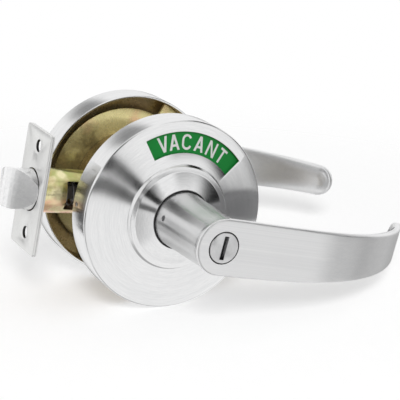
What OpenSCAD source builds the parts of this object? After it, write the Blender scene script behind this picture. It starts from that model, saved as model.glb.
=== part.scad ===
// Privacy lever lock with an indicator window, for a bored door.
// Y is the lock's axis, with the outside of the door at -Y. Z is up.
// X runs along the levers, away from the latch.
// The origin is where the lock's axis crosses the latch's axis, in the middle of the door.
// Pieces that come in pairs are written for the inside, at +Y, and mirrored for the outside.

/* [Door] */
// Thickness of the door between the two roses
door_t = 36; // [34:1:46]
// Distance from the lock's axis to the outer face of the face plate
backset = 59; // [58:1:72]

/* [Rose] */
// Outer diameter of each rose
rose_d = 90; // [88:1:100]
// Depth of the rim, from the door to the edge of the face
rim_depth = 14; // [14:0.5:18]
// Sheet thickness of the rose
rose_wall = 1.2; // [1:0.1:1.4]
// Radius of the edge between rim and face
rim_edge = 0.8; // [0.5:0.1:1.2]
// Rise of the conical face, from its edge to the step
face_rise = 3; // [3:0.25:4]
// Radius of the raised step
step_r = 25; // [24.5:0.25:26.5]
// Height of the step
step_h = 1.6; // [1.6:0.1:2.4]
// Width of the step's slope
step_slope = 0.8; // [0.5:0.1:1.2]
// Width of the flat ring on the step
step_flat = 2.2; // [1.5:0.1:3]
// Rise of the cone from the step to the lever's neck
cone_rise = 3; // [2.6:0.2:4]
// Diameter of the small hole in the outside rose's rim
rim_hole_d = 1.8; // [1:0.1:3]
// Distance of the small hole from the door
rim_hole_depth = 4.4; // [3:0.2:8]

/* [Indicator window] */
// Distance of the window from the edge of the face
window_edge = 4.35; // [3.5:0.05:5]
// Width of the window along the radius
window_w = 9.7; // [7:0.1:9.9]
// Half of the window's angle
window_half = 39; // [30:0.5:40]
// Turn of the window's middle away from straight up
window_turn = 6.5; // [0:0.5:10]
// Thickness of the green and red plates
plate_t = 0.4; // [0.3:0.1:0.6]
// Thickness of the ring that carries the plates
ring_t = 0.8; // [0.6:0.1:1]

/* [Levers] */
// Projection of the lever's outer face from the door
lever_reach = 62; // [56:1:72]
// Radius of the lever's neck at the rose
neck_r = 13.3; // [13.1:0.1:14]
// Height of the blade at the neck
blade_h = 25.6; // [24:0.2:27]
// Thickness of the blade
blade_t = 5.25; // [4.5:0.25:6.5]
// Length of the straight stretch, from the lock's axis
blade_straight = 47; // [40:1:60]
// Radius of the return, at the blade's outer face
return_r = 94; // [80:1:100]
// Angle that the return turns through
return_angle = 62; // [50:1:66]
// Rise of the lower edge, from the neck to the round tip
tip_rise = 9; // [4:0.5:11]
// Radius of the blend between neck and blade
blend_r = 9; // [4:0.5:11]
// Angle by which the outside lever hangs below the latch's axis at rest
outside_droop = 4.5; // [0:0.5:6]
// Diameter of the hole for the lever catch
catch_d = 2.8; // [2:0.1:3.5]
// Distance of the lever catch from the rose's neck hole
catch_out = 6; // [4:0.5:10]

/* [Coin plug and turn button] */
// Diameter of the coin plug
plug_d = 14; // [12:0.5:15]
// Length of the coin slot
slot_l = 9.6; // [8:0.2:11]
// Width of the coin slot
slot_w = 1.8; // [1.4:0.1:2.4]
// Depth of the coin slot
slot_depth = 2; // [1:0.25:3]
// Height of the turn button's wing above the lever
wing_h = 8; // [6:0.5:12]
// Diameter of the lock bar
bar_d = 5; // [4:0.25:5.5]

/* [Spring cages] */
// Distance of the cage's plate behind the door's face
cage_depth = 8.6; // [7:0.1:8.6]
// Radius of the cage
cage_r = 36.2; // [33:0.2:37]
// Thickness of the cage's plate
cage_t = 1.4; // [1:0.1:1.4]
// Height of the cage's lip
cage_lip = 1.4; // [1:0.1:1.6]
// Mean radius of the return spring
return_spring_r = 17; // [16.6:0.1:17.5]
// Wire diameter of the return spring
return_wire = 1.4; // [1:0.1:1.5]

/* [Chassis] */
// Diameter of the chassis
chassis_d = 49.6; // [49:0.2:53]
// Wall of the chassis
chassis_wall = 1.6; // [1.2:0.1:2]
// Outer radius of the hub
hub_r = 12.5; // [12:0.1:12.6]
// Outer radius of the spindle
spindle_r = 9.5; // [9:0.1:9.8]
// Wall of the spindle
spindle_wall = 2.6; // [2:0.1:2.6]
// Turn of the levers, from rest to stop
lever_turn = 50; // [40:1:55]
// Radius of the prong that pushes the retractor
prong_r = 1.9; // [1.5:0.1:2.2]
// Thickness of the retractor along the axis
retractor_t = 10; // [8:0.5:11]
// Height of the retractor's body
retractor_h = 11; // [10.5:0.25:12]
// Diameter of the through bolts
bolt_d = 3.9; // [3:0.1:4.2]

/* [Latch] */
// Height of the face plate
faceplate_h = 57; // [54:0.5:62]
// Width of the face plate
faceplate_w = 28.5; // [25:0.5:32]
// Thickness of the face plate
faceplate_t = 1.2; // [1:0.1:2.5]
// Thickness of the backing plate
backing_t = 0.8; // [0.6:0.1:2]
// Radius of the face plate's corners
faceplate_corner = 2; // [1:0.5:6]
// Distance between the face plate's screw holes
screw_spacing = 41.3; // [38:0.1:44]
// Diameter of the screw holes
screw_hole_d = 5.5; // [4:0.1:6]
// Diameter of the countersinks
countersink_d = 8.4; // [6:0.1:9]
// Throw of the latch bolt
throw = 12.7; // [11:0.1:13]
// Radius of the latch bolt
bolt_r = 9.5; // [8.5:0.1:9.8]
// Distance of the bolt's flat side from its middle
bolt_flat = 7.5; // [6:0.25:8]
// Angle of the bolt's bevel
bevel_angle = 42; // [36:1:43]
// Radius of the bolt's nose
nose_r = 3; // [1.5:0.25:3.5]
// Wall of the latch tube
tube_wall = 0.8; // [0.6:0.1:1.2]

/* [Fits] */
// Radial clearance of shafts in their bearings
bearing_gap = 0.05; // [0.02:0.01:0.08]
// Clearance between pieces that slide or swing past each other
run_gap = 0.3; // [0.25:0.05:0.4]

/* [Hidden] */
$fn = 96;
far = 400;

// Rose outline, as radius and depth from the door
rose_r = rose_d / 2;
face_r = rose_r - rim_edge;
step_depth = rim_depth + face_rise;
flat_depth = step_depth + step_h;
flat_r = step_r - step_slope - step_flat;
rose_top = flat_depth + cone_rise;
bush_w = 0.55;
bush_flange = 1.2;
bush_flange_t = 0.6;
bush_seat = 0.15;
bush_sink = 0.2;
neck_hole_r = neck_r + bush_w + 2 * bearing_gap;
door_y = door_t / 2;
function face_depth(r) = rim_depth + face_rise * (face_r - r) / (face_r - step_r);

// Stack inside each rose, from the cage out to the lever
cage_y = door_y + cage_depth;
cage_top = cage_y + cage_t;
cage_tabs = [30, 110, 190];
cage_tab_half = 8;
arm_y = cage_top + run_gap;
arm_t = 1;
driver_t = 0.8;
driver_w = 2.6;
driver_top = door_y + flat_depth - rose_wall - run_gap;
driver_y = driver_top - driver_t;
neck_engage = 2.7;
neck_y = door_y + rose_top - neck_engage;
hub_end = neck_y - 2 * run_gap;
spring_y = arm_y + arm_t + run_gap;
return_height = driver_y - run_gap - spring_y - return_wire;
post_r = 1.2;
post_orbit = return_spring_r + 4;
tab_half = 1;
leg_turn = asin((post_r + return_wire / 2 + run_gap) / post_orbit);
post_at = 90;
tab_at = 270;
return_turns = 1 + (tab_at - post_at + 2 * leg_turn) / 360;

// Window and the indicator behind it
window_out = face_r - window_edge;
window_in = window_out - window_w;
lock_turn = 90;
plate_half = min(window_half + 4, lock_turn / 2 - 1);
plate_margin = 1.6;
hoop_w = 1.6;
strap_in = hub_r + 2 * run_gap;
strap_t = 2;
strap_half = 6;
strap_at = window_turn + lock_turn / 2 + 180;
strap_slack = 3;

// Levers
lever_y = door_y + lever_reach;
plug_r = plug_d / 2;
flange_r = plug_r + 1.5;
flange_t = 1.8;
blade_back = lever_y - blade_t;
pocket_y = blade_back - 1.3;
spindle_end = pocket_y - flange_t - 2 * run_gap;
return_mid = return_r - blade_t / 2;
tip_r = (blade_h - tip_rise) / 2;
tip_turn = return_angle - tip_r / return_mid * 180 / PI;
tip_x = blade_straight + return_mid * sin(tip_turn);
sweep_r = tip_x * tip_x / (2 * tip_rise);
catch_y = door_y + rose_top + catch_out;
catch_at = 275;

// Chassis and mechanism
chassis_r = chassis_d / 2;
chassis_in = chassis_r - chassis_wall;
hub_t = 1.6;
hub_y = cage_y - hub_t;
spindle_bore = spindle_r - spindle_wall;
crank_r = throw / (2 * sin(lever_turn / 2));
crank_at = -lever_turn / 2;
crank_half = 13;
crank_t = 2;
// Distance of a crank or arm from the end of what carries it
inset = 0.5;
crank_y = retractor_t / 2 + 7;
bar_r = bar_d / 2;
yoke_t = 3;
yoke_y = retractor_t / 2 + 3;
yoke_r = bar_r + 3;
bolt_orbit = chassis_in - bolt_d / 2 - 0.75;
bolt_angles = [120, 240];
bolt_head_r = bolt_d / 2 + 1.4;
bolt_head_t = 1.2;
guide_t = 1.2;
guide_bottom = -retractor_h / 2 - run_gap - guide_t;
guide_half_y = retractor_t / 2 + run_gap + guide_t;
guide_half_x = sqrt(pow(chassis_in - run_gap, 2) - guide_bottom * guide_bottom);

// Latch
plate_x = -backset;
tube_x = plate_x + faceplate_t;
tube_in = bolt_r + 2 * bearing_gap;
tube_r = tube_in + tube_wall;
tube_end = -sqrt(chassis_r * chassis_r - tube_r * tube_r) + 0.5;
bolt_grip = 10;
bolt_rear = plate_x + bolt_grip;
bolt_tip = plate_x - throw;
bevel_start = -bolt_r + 0.5;
cap_t = 1.5;
cap_x = tube_end - 2.5;
tail_half_y = 2;
tail_half_z = 3;
tail_head_z = tail_half_z + 1.6;
tail_head_t = 2.4;
jaw_t = 1.3;
slot_half = bar_r + 0.2;
retractor_end = slot_half + 1.2;
head_x = -throw - slot_half - tail_head_t - 2 * run_gap;
retractor_x = head_x - run_gap - jaw_t;
upright_half = prong_r + 1.7;
prong_z = crank_r * cos(lever_turn / 2);
upright_top = crank_r + prong_r + 2 * run_gap + 1;
latch_wire = 1;
latch_spring_r = 6.5;
latch_turns = 7;
retractor_wire = 0.8;
retractor_spring_r = 3.2;
retractor_turns = 4;

// Shapes along the axes
module y_cylinder(r, y0, y1) {
    translate([0, y0, 0]) rotate([-90, 0, 0]) cylinder(r = r, h = y1 - y0);
}
module x_cylinder(r, x0, x1) {
    translate([x0, 0, 0]) rotate([0, 90, 0]) cylinder(r = r, h = x1 - x0);
}
module y_tube(r_out, r_in, y0, y1) {
    difference() {
        y_cylinder(r_out, y0, y1);
        y_cylinder(r_in, y0 - 1, y1 + 1);
    }
}
module block(x, y, z) {
    translate([x[0], y[0], z[0]]) cube([x[1] - x[0], y[1] - y[0], z[1] - z[0]]);
}
// Turned shape about the lock's axis, from radius and distance along +Y
module turned(points) {
    rotate([-90, 0, 0]) rotate_extrude() polygon(points);
}
// Part of a turned shape, between two angles that run from straight up toward +X
module turned_part(points, from, to) {
    rotate([-90, 0, 0]) rotate([0, 0, from - 90]) rotate_extrude(angle = to - from) polygon(points);
}
module sector(r0, r1, y0, y1, from, to) {
    turned_part([[r0, y0], [r1, y0], [r1, y1], [r0, y1]], from, to);
}
module at_angle(angle, r) {
    translate([r * sin(angle), 0, r * cos(angle)]) children();
}
module outside() {
    mirror([0, 1, 0]) children();
}
module rounded_square(w, h, r) {
    square([w - 2 * r, h], center = true);
    square([w, h - 2 * r], center = true);
    for (x = [-1, 1], y = [-1, 1])
        translate([x * (w / 2 - r), y * (h / 2 - r)]) circle(r);
}

// One unbroken wire swept along a path, with the ring at each point square to the path
function ring_at(path, i, wire, sides) =
    let (
        before = path[max(i - 1, 0)],
        after = path[min(i + 1, len(path) - 1)],
        along = (after - before) / norm(after - before),
        side = cross(along, [0.31, 0.95, 0.05]),
        u = side / norm(side),
        v = cross(along, u)
    )
    [for (k = [0 : sides - 1]) path[i] + wire / 2 * (cos(360 * k / sides) * u + sin(360 * k / sides) * v)];
module wire(path, d, sides = 6) {
    rings = len(path);
    points = [for (i = [0 : rings - 1]) each ring_at(path, i, d, sides)];
    skin = [
        for (i = [0 : rings - 2], k = [0 : sides - 1])
            let (a = i * sides + k, b = i * sides + (k + 1) % sides)
            each [[a, b, a + sides], [b, b + sides, a + sides]]
    ];
    caps = [
        for (k = [1 : sides - 2])
            each [[0, k + 1, k], [(rings - 1) * sides, (rings - 1) * sides + k, (rings - 1) * sides + k + 1]]
    ];
    polyhedron(points, concat(skin, caps));
}
// Least gap of a wire to itself, between points that are half a curl or more apart
function self_gap(path, d, apart) =
    min([for (i = [0 : len(path) - 1 - apart], j = [i + apart : len(path) - 1]) norm(path[i] - path[j])]) - d;
rings_per_curl = 12;
function coil_x(r, x0, x1, turns) =
    let (n = round(turns * rings_per_curl))
    [for (i = [0 : n]) let (a = 360 * turns * i / n) [x0 + (x1 - x0) * i / n, r * cos(a), r * sin(a)]];
latch_path = coil_x(latch_spring_r, bolt_rear + latch_wire, cap_x - latch_wire, latch_turns);
retractor_path = coil_x(retractor_spring_r, retractor_end + retractor_wire,
    guide_half_x - guide_t - retractor_wire, retractor_turns);
return_from = post_at - leg_turn;
return_to = tab_at + leg_turn + 360;
leg_out = post_orbit + post_r;
return_rings = round(return_turns * rings_per_curl);
function around(r, angle, y) = [r * sin(angle), y, r * cos(angle)];
return_low = spring_y + return_wire / 2;
return_path = concat(
    [around(leg_out, return_from, return_low)],
    [for (i = [0 : return_rings])
        let (share = i / return_rings, angle = return_from + (return_to - return_from) * share)
        around(return_spring_r, angle, return_low + return_height * share)],
    [around(leg_out, return_to, return_low + return_height)]
);
echo(latch_spring_gap = self_gap(latch_path, latch_wire, rings_per_curl / 2));
echo(retractor_spring_gap = self_gap(retractor_path, retractor_wire, rings_per_curl / 2));
echo(return_spring_gap = self_gap(return_path, return_wire, rings_per_curl / 2));

// Roses
module rose() {
    edge = [for (a = [0 : 15 : 90]) [face_r + rim_edge * cos(a), rim_depth - rim_edge + rim_edge * sin(a)]];
    outline = concat(
        [[rose_r - rose_wall, 0], [rose_r, 0]],
        edge,
        [
            [step_r, step_depth],
            [step_r - step_slope, flat_depth],
            [flat_r, flat_depth],
            [neck_hole_r, rose_top],
            [neck_hole_r, rose_top - rose_wall],
            [flat_r, flat_depth - rose_wall],
            [step_r - step_slope - rose_wall, flat_depth - rose_wall],
            [step_r - rose_wall, step_depth - rose_wall],
            [face_r - rose_wall, rim_depth - rose_wall],
            [rose_r - rose_wall, rim_depth - rose_wall - rim_edge],
        ]
    );
    turned([for (p = outline) [p[0], p[1] + door_y]]);
}
module outside_rose() {
    color("silver") outside() difference() {
        rose();
        sector(window_in, window_out, door_y + rim_depth - rose_wall - 2, door_y + rose_top,
            window_turn - window_half, window_turn + window_half);
        translate([0, door_y + rim_hole_depth, 0])
            x_cylinder(rim_hole_d / 2, -rose_r - 1, -rose_r + 2 * rose_wall);
    }
}
module inside_rose() {
    color("silver") rose();
}
module bush() {
    in = neck_r + bearing_gap;
    out = neck_hole_r - bearing_gap;
    low = neck_y + bush_seat;
    top = door_y + rose_top - bush_sink;
    turned([
        [in, low],
        [out + bush_flange, low],
        [out + bush_flange, low + bush_flange_t],
        [out, low + bush_flange_t],
        [out, top],
        [in, top],
    ]);
}
module outside_bush() {
    color("black") outside() bush();
}
module inside_bush() {
    color("black") bush();
}

// Spring cages, with tabs that hold the rose and a post for the return spring
module cage() {
    difference() {
        union() {
            turned([
                [hub_r + 2 * bearing_gap, cage_y],
                [cage_r, cage_y],
                [cage_r, cage_top + cage_lip],
                [cage_r - cage_t, cage_top + cage_lip],
                [cage_r - cage_t, cage_top],
                [hub_r + 2 * bearing_gap, cage_top],
            ]);
            for (angle = cage_tabs)
                sector(cage_r - cage_t, rose_r - rose_wall - run_gap, cage_y, cage_top,
                    angle - cage_tab_half, angle + cage_tab_half);
            at_angle(post_at, post_orbit) y_cylinder(post_r, cage_y, driver_y - run_gap);
        }
        sector(hub_r, strap_in + strap_t + run_gap, cage_y - 1, cage_top + 1,
            strap_at - lock_turn - strap_half - strap_slack, strap_at + strap_half + strap_slack);
        for (angle = bolt_angles)
            at_angle(angle, bolt_orbit) y_cylinder(bolt_d / 2 + bearing_gap, cage_y - 1, cage_top + 1);
    }
}
module outside_cage() {
    color("gold") outside() cage();
}
module inside_cage() {
    color("gold") cage();
}
module outside_return_spring() {
    color("dimgray") outside() wire(return_path, return_wire);
}
module inside_return_spring() {
    color("dimgray") wire(return_path, return_wire);
}

// Chassis
module chassis_shell() {
    color("goldenrod") difference() {
        y_tube(chassis_r, chassis_in, -cage_y, cage_y);
        x_cylinder(tube_r + 2 * bearing_gap, -chassis_r - 1, 0);
    }
}
module hub() {
    difference() {
        union() {
            y_cylinder(chassis_in - 2 * bearing_gap, hub_y, cage_y);
            y_cylinder(hub_r, hub_y, hub_end);
        }
        y_cylinder(spindle_r + bearing_gap, hub_y - 1, hub_end + 1);
        sector(strap_in - run_gap, strap_in + strap_t + run_gap, hub_y - 1, cage_y + 1,
            strap_at - lock_turn - strap_half - strap_slack, strap_at + strap_half + strap_slack);
        for (angle = bolt_angles)
            at_angle(angle, bolt_orbit) y_cylinder(bolt_d / 2 + bearing_gap, hub_y - 1, cage_y + 1);
    }
}
module outside_hub() {
    color("goldenrod") outside() hub();
}
module inside_hub() {
    color("goldenrod") hub();
}
module through_bolts() {
    color("silver") for (angle = bolt_angles)
        at_angle(angle, bolt_orbit) {
            y_cylinder(bolt_d / 2, -cage_y, cage_top);
            y_cylinder(bolt_head_r, cage_top, cage_top + bolt_head_t);
        }
}
module retractor_guide() {
    inner_y = retractor_t / 2 + run_gap;
    cheek_top = -bar_r - 2 * run_gap;
    color("goldenrod") {
        difference() {
            block([-guide_half_x, guide_half_x], [-guide_half_y, guide_half_y], [guide_bottom, cheek_top]);
            block([-guide_half_x - 1, guide_half_x - guide_t], [-inner_y, inner_y],
                [guide_bottom + guide_t, 0]);
        }
        block([guide_half_x - guide_t, guide_half_x], [-guide_half_y, guide_half_y],
            [guide_bottom, retractor_spring_r + retractor_wire]);
    }
}

// Levers
// Blade as seen from above, running on past the tip
module blade_plan() {
    translate([0, blade_back]) square([blade_straight, blade_t]);
    intersection() {
        translate([blade_straight, lever_y - return_r]) difference() {
            circle(return_r);
            circle(return_r - blade_t);
        }
        translate([blade_straight, lever_y - return_r]) square(return_r + 1);
    }
}
// The lower edge follows one large circle, and the tip is round
module blade() {
    difference() {
        intersection() {
            translate([0, 0, -blade_h / 2]) linear_extrude(blade_h) blade_plan();
            translate([0, 0, sweep_r - blade_h / 2]) rotate([-90, 0, 0])
                cylinder(r = sweep_r, h = lever_y + 1, $fn = 900);
        }
        translate([blade_straight, lever_y - return_r, 0]) rotate([0, 0, -tip_turn]) difference() {
            block([0, far], [0, far], [-blade_h, blade_h]);
            translate([0, 0, blade_h / 2 - tip_r]) y_cylinder(tip_r, -1, far + 1);
        }
    }
    y_cylinder(blade_h / 2, blade_back, lever_y);
}
module blend() {
    root = blade_h / 2 - 1;
    difference() {
        block([0, root + blend_r], [blade_back - blend_r, blade_back + 1], [-blade_h / 4, blade_h / 4]);
        translate([root + blend_r, blade_back - blend_r, -blade_h]) cylinder(r = blend_r, h = 2 * blade_h);
    }
}
module lever() {
    difference() {
        union() {
            blade();
            blend();
            translate([0, neck_y, 0]) rotate([-90, 0, 0])
                cylinder(r1 = neck_r, r2 = blade_h / 2 - 0.3, h = blade_back + blade_t / 2 - neck_y);
        }
        y_cylinder(spindle_r + bearing_gap, neck_y - 1, pocket_y);
        y_cylinder(plug_r + bearing_gap, pocket_y - 1, lever_y + 1);
        catch_line(catch_d / 2, spindle_r - 1, neck_r + 1);
    }
}
// Cylinder out of the neck, where the catch sits
module catch_line(r, from, to) {
    translate([0, catch_y, 0]) rotate([0, catch_at, 0]) translate([0, 0, from])
        cylinder(r = r, h = to - from);
}
module lever_catch() {
    catch_line(catch_d / 2 - bearing_gap, spindle_r + bearing_gap, neck_r - 1);
}
module spindle() {
    difference() {
        union() {
            y_cylinder(spindle_r, crank_y, spindle_end);
            sector(spindle_r - 1, crank_r + prong_r + 0.6, crank_y + inset, crank_y + inset + crank_t,
                crank_at - crank_half, crank_at + crank_half);
            at_angle(crank_at, crank_r) y_cylinder(prong_r, run_gap, crank_y + inset + crank_t / 2);
        }
        y_cylinder(spindle_bore, crank_y - 1, spindle_end + 1);
    }
}
module driver() {
    ring_in = hub_r + 2 * bearing_gap;
    ring_out = ring_in + driver_w;
    tab_out = post_orbit + post_r;
    tab_angle = asin(tab_half / post_orbit);
    y_tube(ring_out, ring_in, driver_y, neck_y);
    sector(ring_out - 1, tab_out, driver_y, driver_top, tab_at - 2 * tab_angle, tab_at + tab_angle);
    sector(tab_out - 2, tab_out, spring_y, driver_y + 0.4, tab_at - 2 * tab_angle, tab_at + tab_angle);
}
module hung() {
    outside() rotate([0, outside_droop, 0]) children();
}
module outside_lever() {
    color("silver") hung() lever();
}
module outside_catch() {
    color("dimgray") hung() lever_catch();
}
module outside_spindle() {
    color("darkgray") outside() spindle();
}
module outside_driver() {
    color("darkgray") outside() driver();
}
module inside_lever() {
    color("silver") lever();
}
module inside_catch() {
    color("dimgray") lever_catch();
}
module inside_spindle() {
    color("darkgray") spindle();
}
module inside_driver() {
    color("darkgray") driver();
}

// Lock bar, what turns it, and the indicator that it turns
module plug_body() {
    difference() {
        union() {
            y_cylinder(plug_r, pocket_y - run_gap, lever_y + run_gap);
            y_cylinder(flange_r, pocket_y - run_gap - flange_t, pocket_y - run_gap);
        }
        y_cylinder(bar_r + bearing_gap, pocket_y - flange_t - 1, lever_y - blade_t / 2);
    }
}
module coin_plug() {
    color("silver") hung() difference() {
        plug_body();
        block([-slot_w / 2, slot_w / 2], [lever_y + run_gap - slot_depth, lever_y + 2],
            [-slot_l / 2, slot_l / 2]);
    }
}
module turn_button() {
    color("silver") {
        plug_body();
        intersection() {
            block([-slot_w, slot_w], [lever_y, lever_y + wing_h], [-plug_r, plug_r]);
            y_cylinder(plug_r - 0.5, lever_y - 1, lever_y + wing_h);
        }
    }
}
module lock_bar() {
    color("dimgray") y_cylinder(bar_r, -lever_y + blade_t / 2, lever_y - blade_t / 2);
}
module indicator_yoke() {
    color("dimgray") outside() {
        y_tube(yoke_r, bar_r + bearing_gap, yoke_y, yoke_y + yoke_t);
        sector(yoke_r - 1, strap_in + strap_t, yoke_y + inset, yoke_y + yoke_t - inset,
            strap_at - strap_half, strap_at + strap_half);
        sector(strap_in, strap_in + strap_t, yoke_y + yoke_t / 2, arm_y,
            strap_at - strap_half, strap_at + strap_half);
    }
}
// Outline of a cone that lies a little way behind the rose's face
function behind_face(r0, r1, from, to) = [
    [r0, door_y + face_depth(r0) - rose_wall - to],
    [r1, door_y + face_depth(r1) - rose_wall - to],
    [r1, door_y + face_depth(r1) - rose_wall - from],
    [r0, door_y + face_depth(r0) - rose_wall - from],
];
module indicator_ring() {
    r0 = window_in - plate_margin;
    r1 = window_out + plate_margin;
    ring_top = run_gap + plate_t + bearing_gap;
    hoop = behind_face(r0 - hoop_w, r0 + 0.1, ring_top, ring_top + ring_t);
    color("dimgray") outside() {
        turned_part(behind_face(r0, r1, ring_top, ring_top + ring_t),
            window_turn - plate_half, window_turn + lock_turn + plate_half);
        turned([[hoop[0][0], arm_y], [hoop[1][0], arm_y], hoop[2], hoop[3]]);
        sector(strap_in, r0 - hoop_w / 2, arm_y, arm_y + arm_t, strap_at - strap_half, strap_at + strap_half);
    }
}
module flag_plate(middle) {
    outside() turned_part(
        behind_face(window_in - plate_margin, window_out + plate_margin, run_gap, run_gap + plate_t),
        middle - plate_half, middle + plate_half);
}
module vacant_plate() {
    color("green") flag_plate(window_turn);
}
module occupied_plate() {
    color("firebrick") flag_plate(window_turn + lock_turn);
}

// Retractor, pushed by the prongs, with jaws that hold the latch's tail
module retractor() {
    half_y = retractor_t / 2;
    half_z = retractor_h / 2;
    prong_x = crank_r * sin(crank_at);
    prong_slot = prong_r + 0.8 * run_gap;
    color("darkgray") difference() {
        union() {
            block([retractor_x, retractor_end], [-half_y, half_y], [-half_z, half_z]);
            block([prong_x - upright_half, prong_x + upright_half], [-half_y, half_y], [0, upright_top]);
        }
        block([-throw - slot_half - 1, slot_half], [-far, far], [-slot_half, slot_half]);
        block([head_x - run_gap, head_x + tail_head_t + run_gap], [-far, far],
            [-tail_head_z - run_gap, tail_head_z + run_gap]);
        block([retractor_x - 1, head_x], [-far, far], [-tail_half_z - run_gap, tail_half_z + run_gap]);
        block([prong_x - prong_slot, prong_x + prong_slot], [-far, far],
            [prong_z - prong_r - 2 * run_gap, crank_r + prong_r + 2 * run_gap]);
    }
}
module retractor_spring() {
    color("dimgray") wire(retractor_path, retractor_wire);
}

// Latch
module plate_outline(hole_r) {
    difference() {
        rounded_square(faceplate_h, faceplate_w, faceplate_corner);
        circle(hole_r);
        for (side = [-1, 1])
            translate([side * screw_spacing / 2, 0]) circle(d = screw_hole_d);
    }
}
module plate_solid(x, t, hole_r) {
    translate([x, 0, 0]) rotate([0, 90, 0]) linear_extrude(t) plate_outline(hole_r);
}
module face_plate() {
    sink = (countersink_d - screw_hole_d) / 4;
    color("silver") difference() {
        plate_solid(plate_x, faceplate_t, bolt_r + run_gap);
        for (side = [-1, 1])
            translate([plate_x - 0.01, 0, side * screw_spacing / 2]) rotate([0, 90, 0])
                cylinder(d1 = countersink_d, d2 = screw_hole_d, h = min(2 * sink, faceplate_t * 0.6));
    }
}
module backing_plate() {
    color("silver") plate_solid(tube_x, backing_t, tube_r + bearing_gap);
}
module latch_tube() {
    window = [bolt_rear + 4, bolt_rear + 11];
    color("gold") difference() {
        x_cylinder(tube_r, tube_x, tube_end);
        x_cylinder(tube_in, tube_x - 1, tube_end + 1);
        block(window, [-tube_r - 1, tube_r + 1], [-tube_r * 0.65, tube_r * 0.65]);
    }
}
module latch_end_cap() {
    color("gold") difference() {
        x_cylinder(tube_in - bearing_gap, cap_x, cap_x + cap_t);
        block([cap_x - 1, cap_x + cap_t + 1], [-tail_half_y - run_gap, tail_half_y + run_gap],
            [-tail_half_z - run_gap, tail_half_z + run_gap]);
    }
}
module latch_bolt() {
    nose_x = bolt_tip + nose_r;
    nose_y = bevel_start + (nose_r + (throw - nose_r) * sin(bevel_angle)) / cos(bevel_angle);
    nose = [for (a = [270 - bevel_angle : -8 : 180]) [nose_x + nose_r * cos(a), nose_y + nose_r * sin(a)]];
    outline = concat(
        [[bolt_rear, bolt_flat], [bolt_rear, -bolt_r - 1], [plate_x, -bolt_r - 1], [plate_x, bevel_start]],
        nose,
        [[bolt_tip, bolt_flat - 1], [bolt_tip + 1, bolt_flat]]
    );
    color("silver") intersection() {
        x_cylinder(bolt_r, bolt_tip - 1, bolt_rear);
        translate([0, 0, -bolt_r - 1]) linear_extrude(2 * bolt_r + 2) polygon(outline);
    }
}
module latch_tail() {
    color("darkgray") {
        block([bolt_rear, head_x + 0.1], [-tail_half_y, tail_half_y], [-tail_half_z, tail_half_z]);
        block([head_x, head_x + tail_head_t], [-tail_half_y, tail_half_y], [-tail_head_z, tail_head_z]);
    }
}
module latch_spring() {
    color("dimgray") wire(latch_path, latch_wire);
}

outside_rose();
inside_rose();
outside_cage();
inside_cage();
outside_bush();
inside_bush();
chassis_shell();
outside_hub();
inside_hub();
through_bolts();
retractor_guide();
latch_tube();
latch_end_cap();
face_plate();
backing_plate();
latch_spring();
retractor_spring();
outside_return_spring();
inside_return_spring();
outside_lever();
outside_spindle();
outside_driver();
outside_catch();
inside_lever();
inside_spindle();
inside_driver();
inside_catch();
retractor();
latch_bolt();
latch_tail();
coin_plug();
lock_bar();
indicator_yoke();
indicator_ring();
vacant_plate();
occupied_plate();
turn_button();
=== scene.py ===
"""Dresses the privacy lever lock: turned roses, return levers, the indicator window and the latch."""

import logging
import math
from collections.abc import Callable, Iterable, Sequence
from dataclasses import dataclass
from enum import Enum

import bmesh
import bpy
from mathutils import Matrix, Vector


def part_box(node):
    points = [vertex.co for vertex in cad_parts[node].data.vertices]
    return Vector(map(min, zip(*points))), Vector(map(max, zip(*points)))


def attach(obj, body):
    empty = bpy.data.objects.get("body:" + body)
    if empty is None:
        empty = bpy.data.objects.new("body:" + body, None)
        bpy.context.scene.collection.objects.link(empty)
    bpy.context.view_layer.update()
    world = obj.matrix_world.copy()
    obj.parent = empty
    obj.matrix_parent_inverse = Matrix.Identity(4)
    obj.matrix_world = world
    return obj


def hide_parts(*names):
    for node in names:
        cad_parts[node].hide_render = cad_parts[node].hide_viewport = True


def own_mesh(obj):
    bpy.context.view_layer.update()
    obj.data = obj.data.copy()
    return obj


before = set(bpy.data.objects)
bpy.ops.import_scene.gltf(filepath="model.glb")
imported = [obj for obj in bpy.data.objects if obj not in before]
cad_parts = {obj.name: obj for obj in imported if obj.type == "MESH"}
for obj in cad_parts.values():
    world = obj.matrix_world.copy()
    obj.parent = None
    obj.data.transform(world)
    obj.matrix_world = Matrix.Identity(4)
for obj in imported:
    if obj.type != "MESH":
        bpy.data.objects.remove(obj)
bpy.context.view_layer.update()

log = logging.getLogger("lever_lock")

Point = tuple[float, float]
Corner = tuple[float, float, float]
Colour = tuple[float, float, float]
Row = list[bmesh.types.BMVert]

MM = 0.001
QUARTER = math.pi / 2
FULL_TURN = 2 * math.pi
COLUMNS = 240
NOISE_MIDDLE = 0.5
UP = Vector((0.0, 0.0, 1.0))
WHITE: Colour = (1.0, 1.0, 1.0)

# Rest angle of the outside lever and whole turn of the lock bar, in degrees
LEVER_DROOP = 4.5
LOCK_TURN = 90.0


# Shader arithmetic


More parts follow.
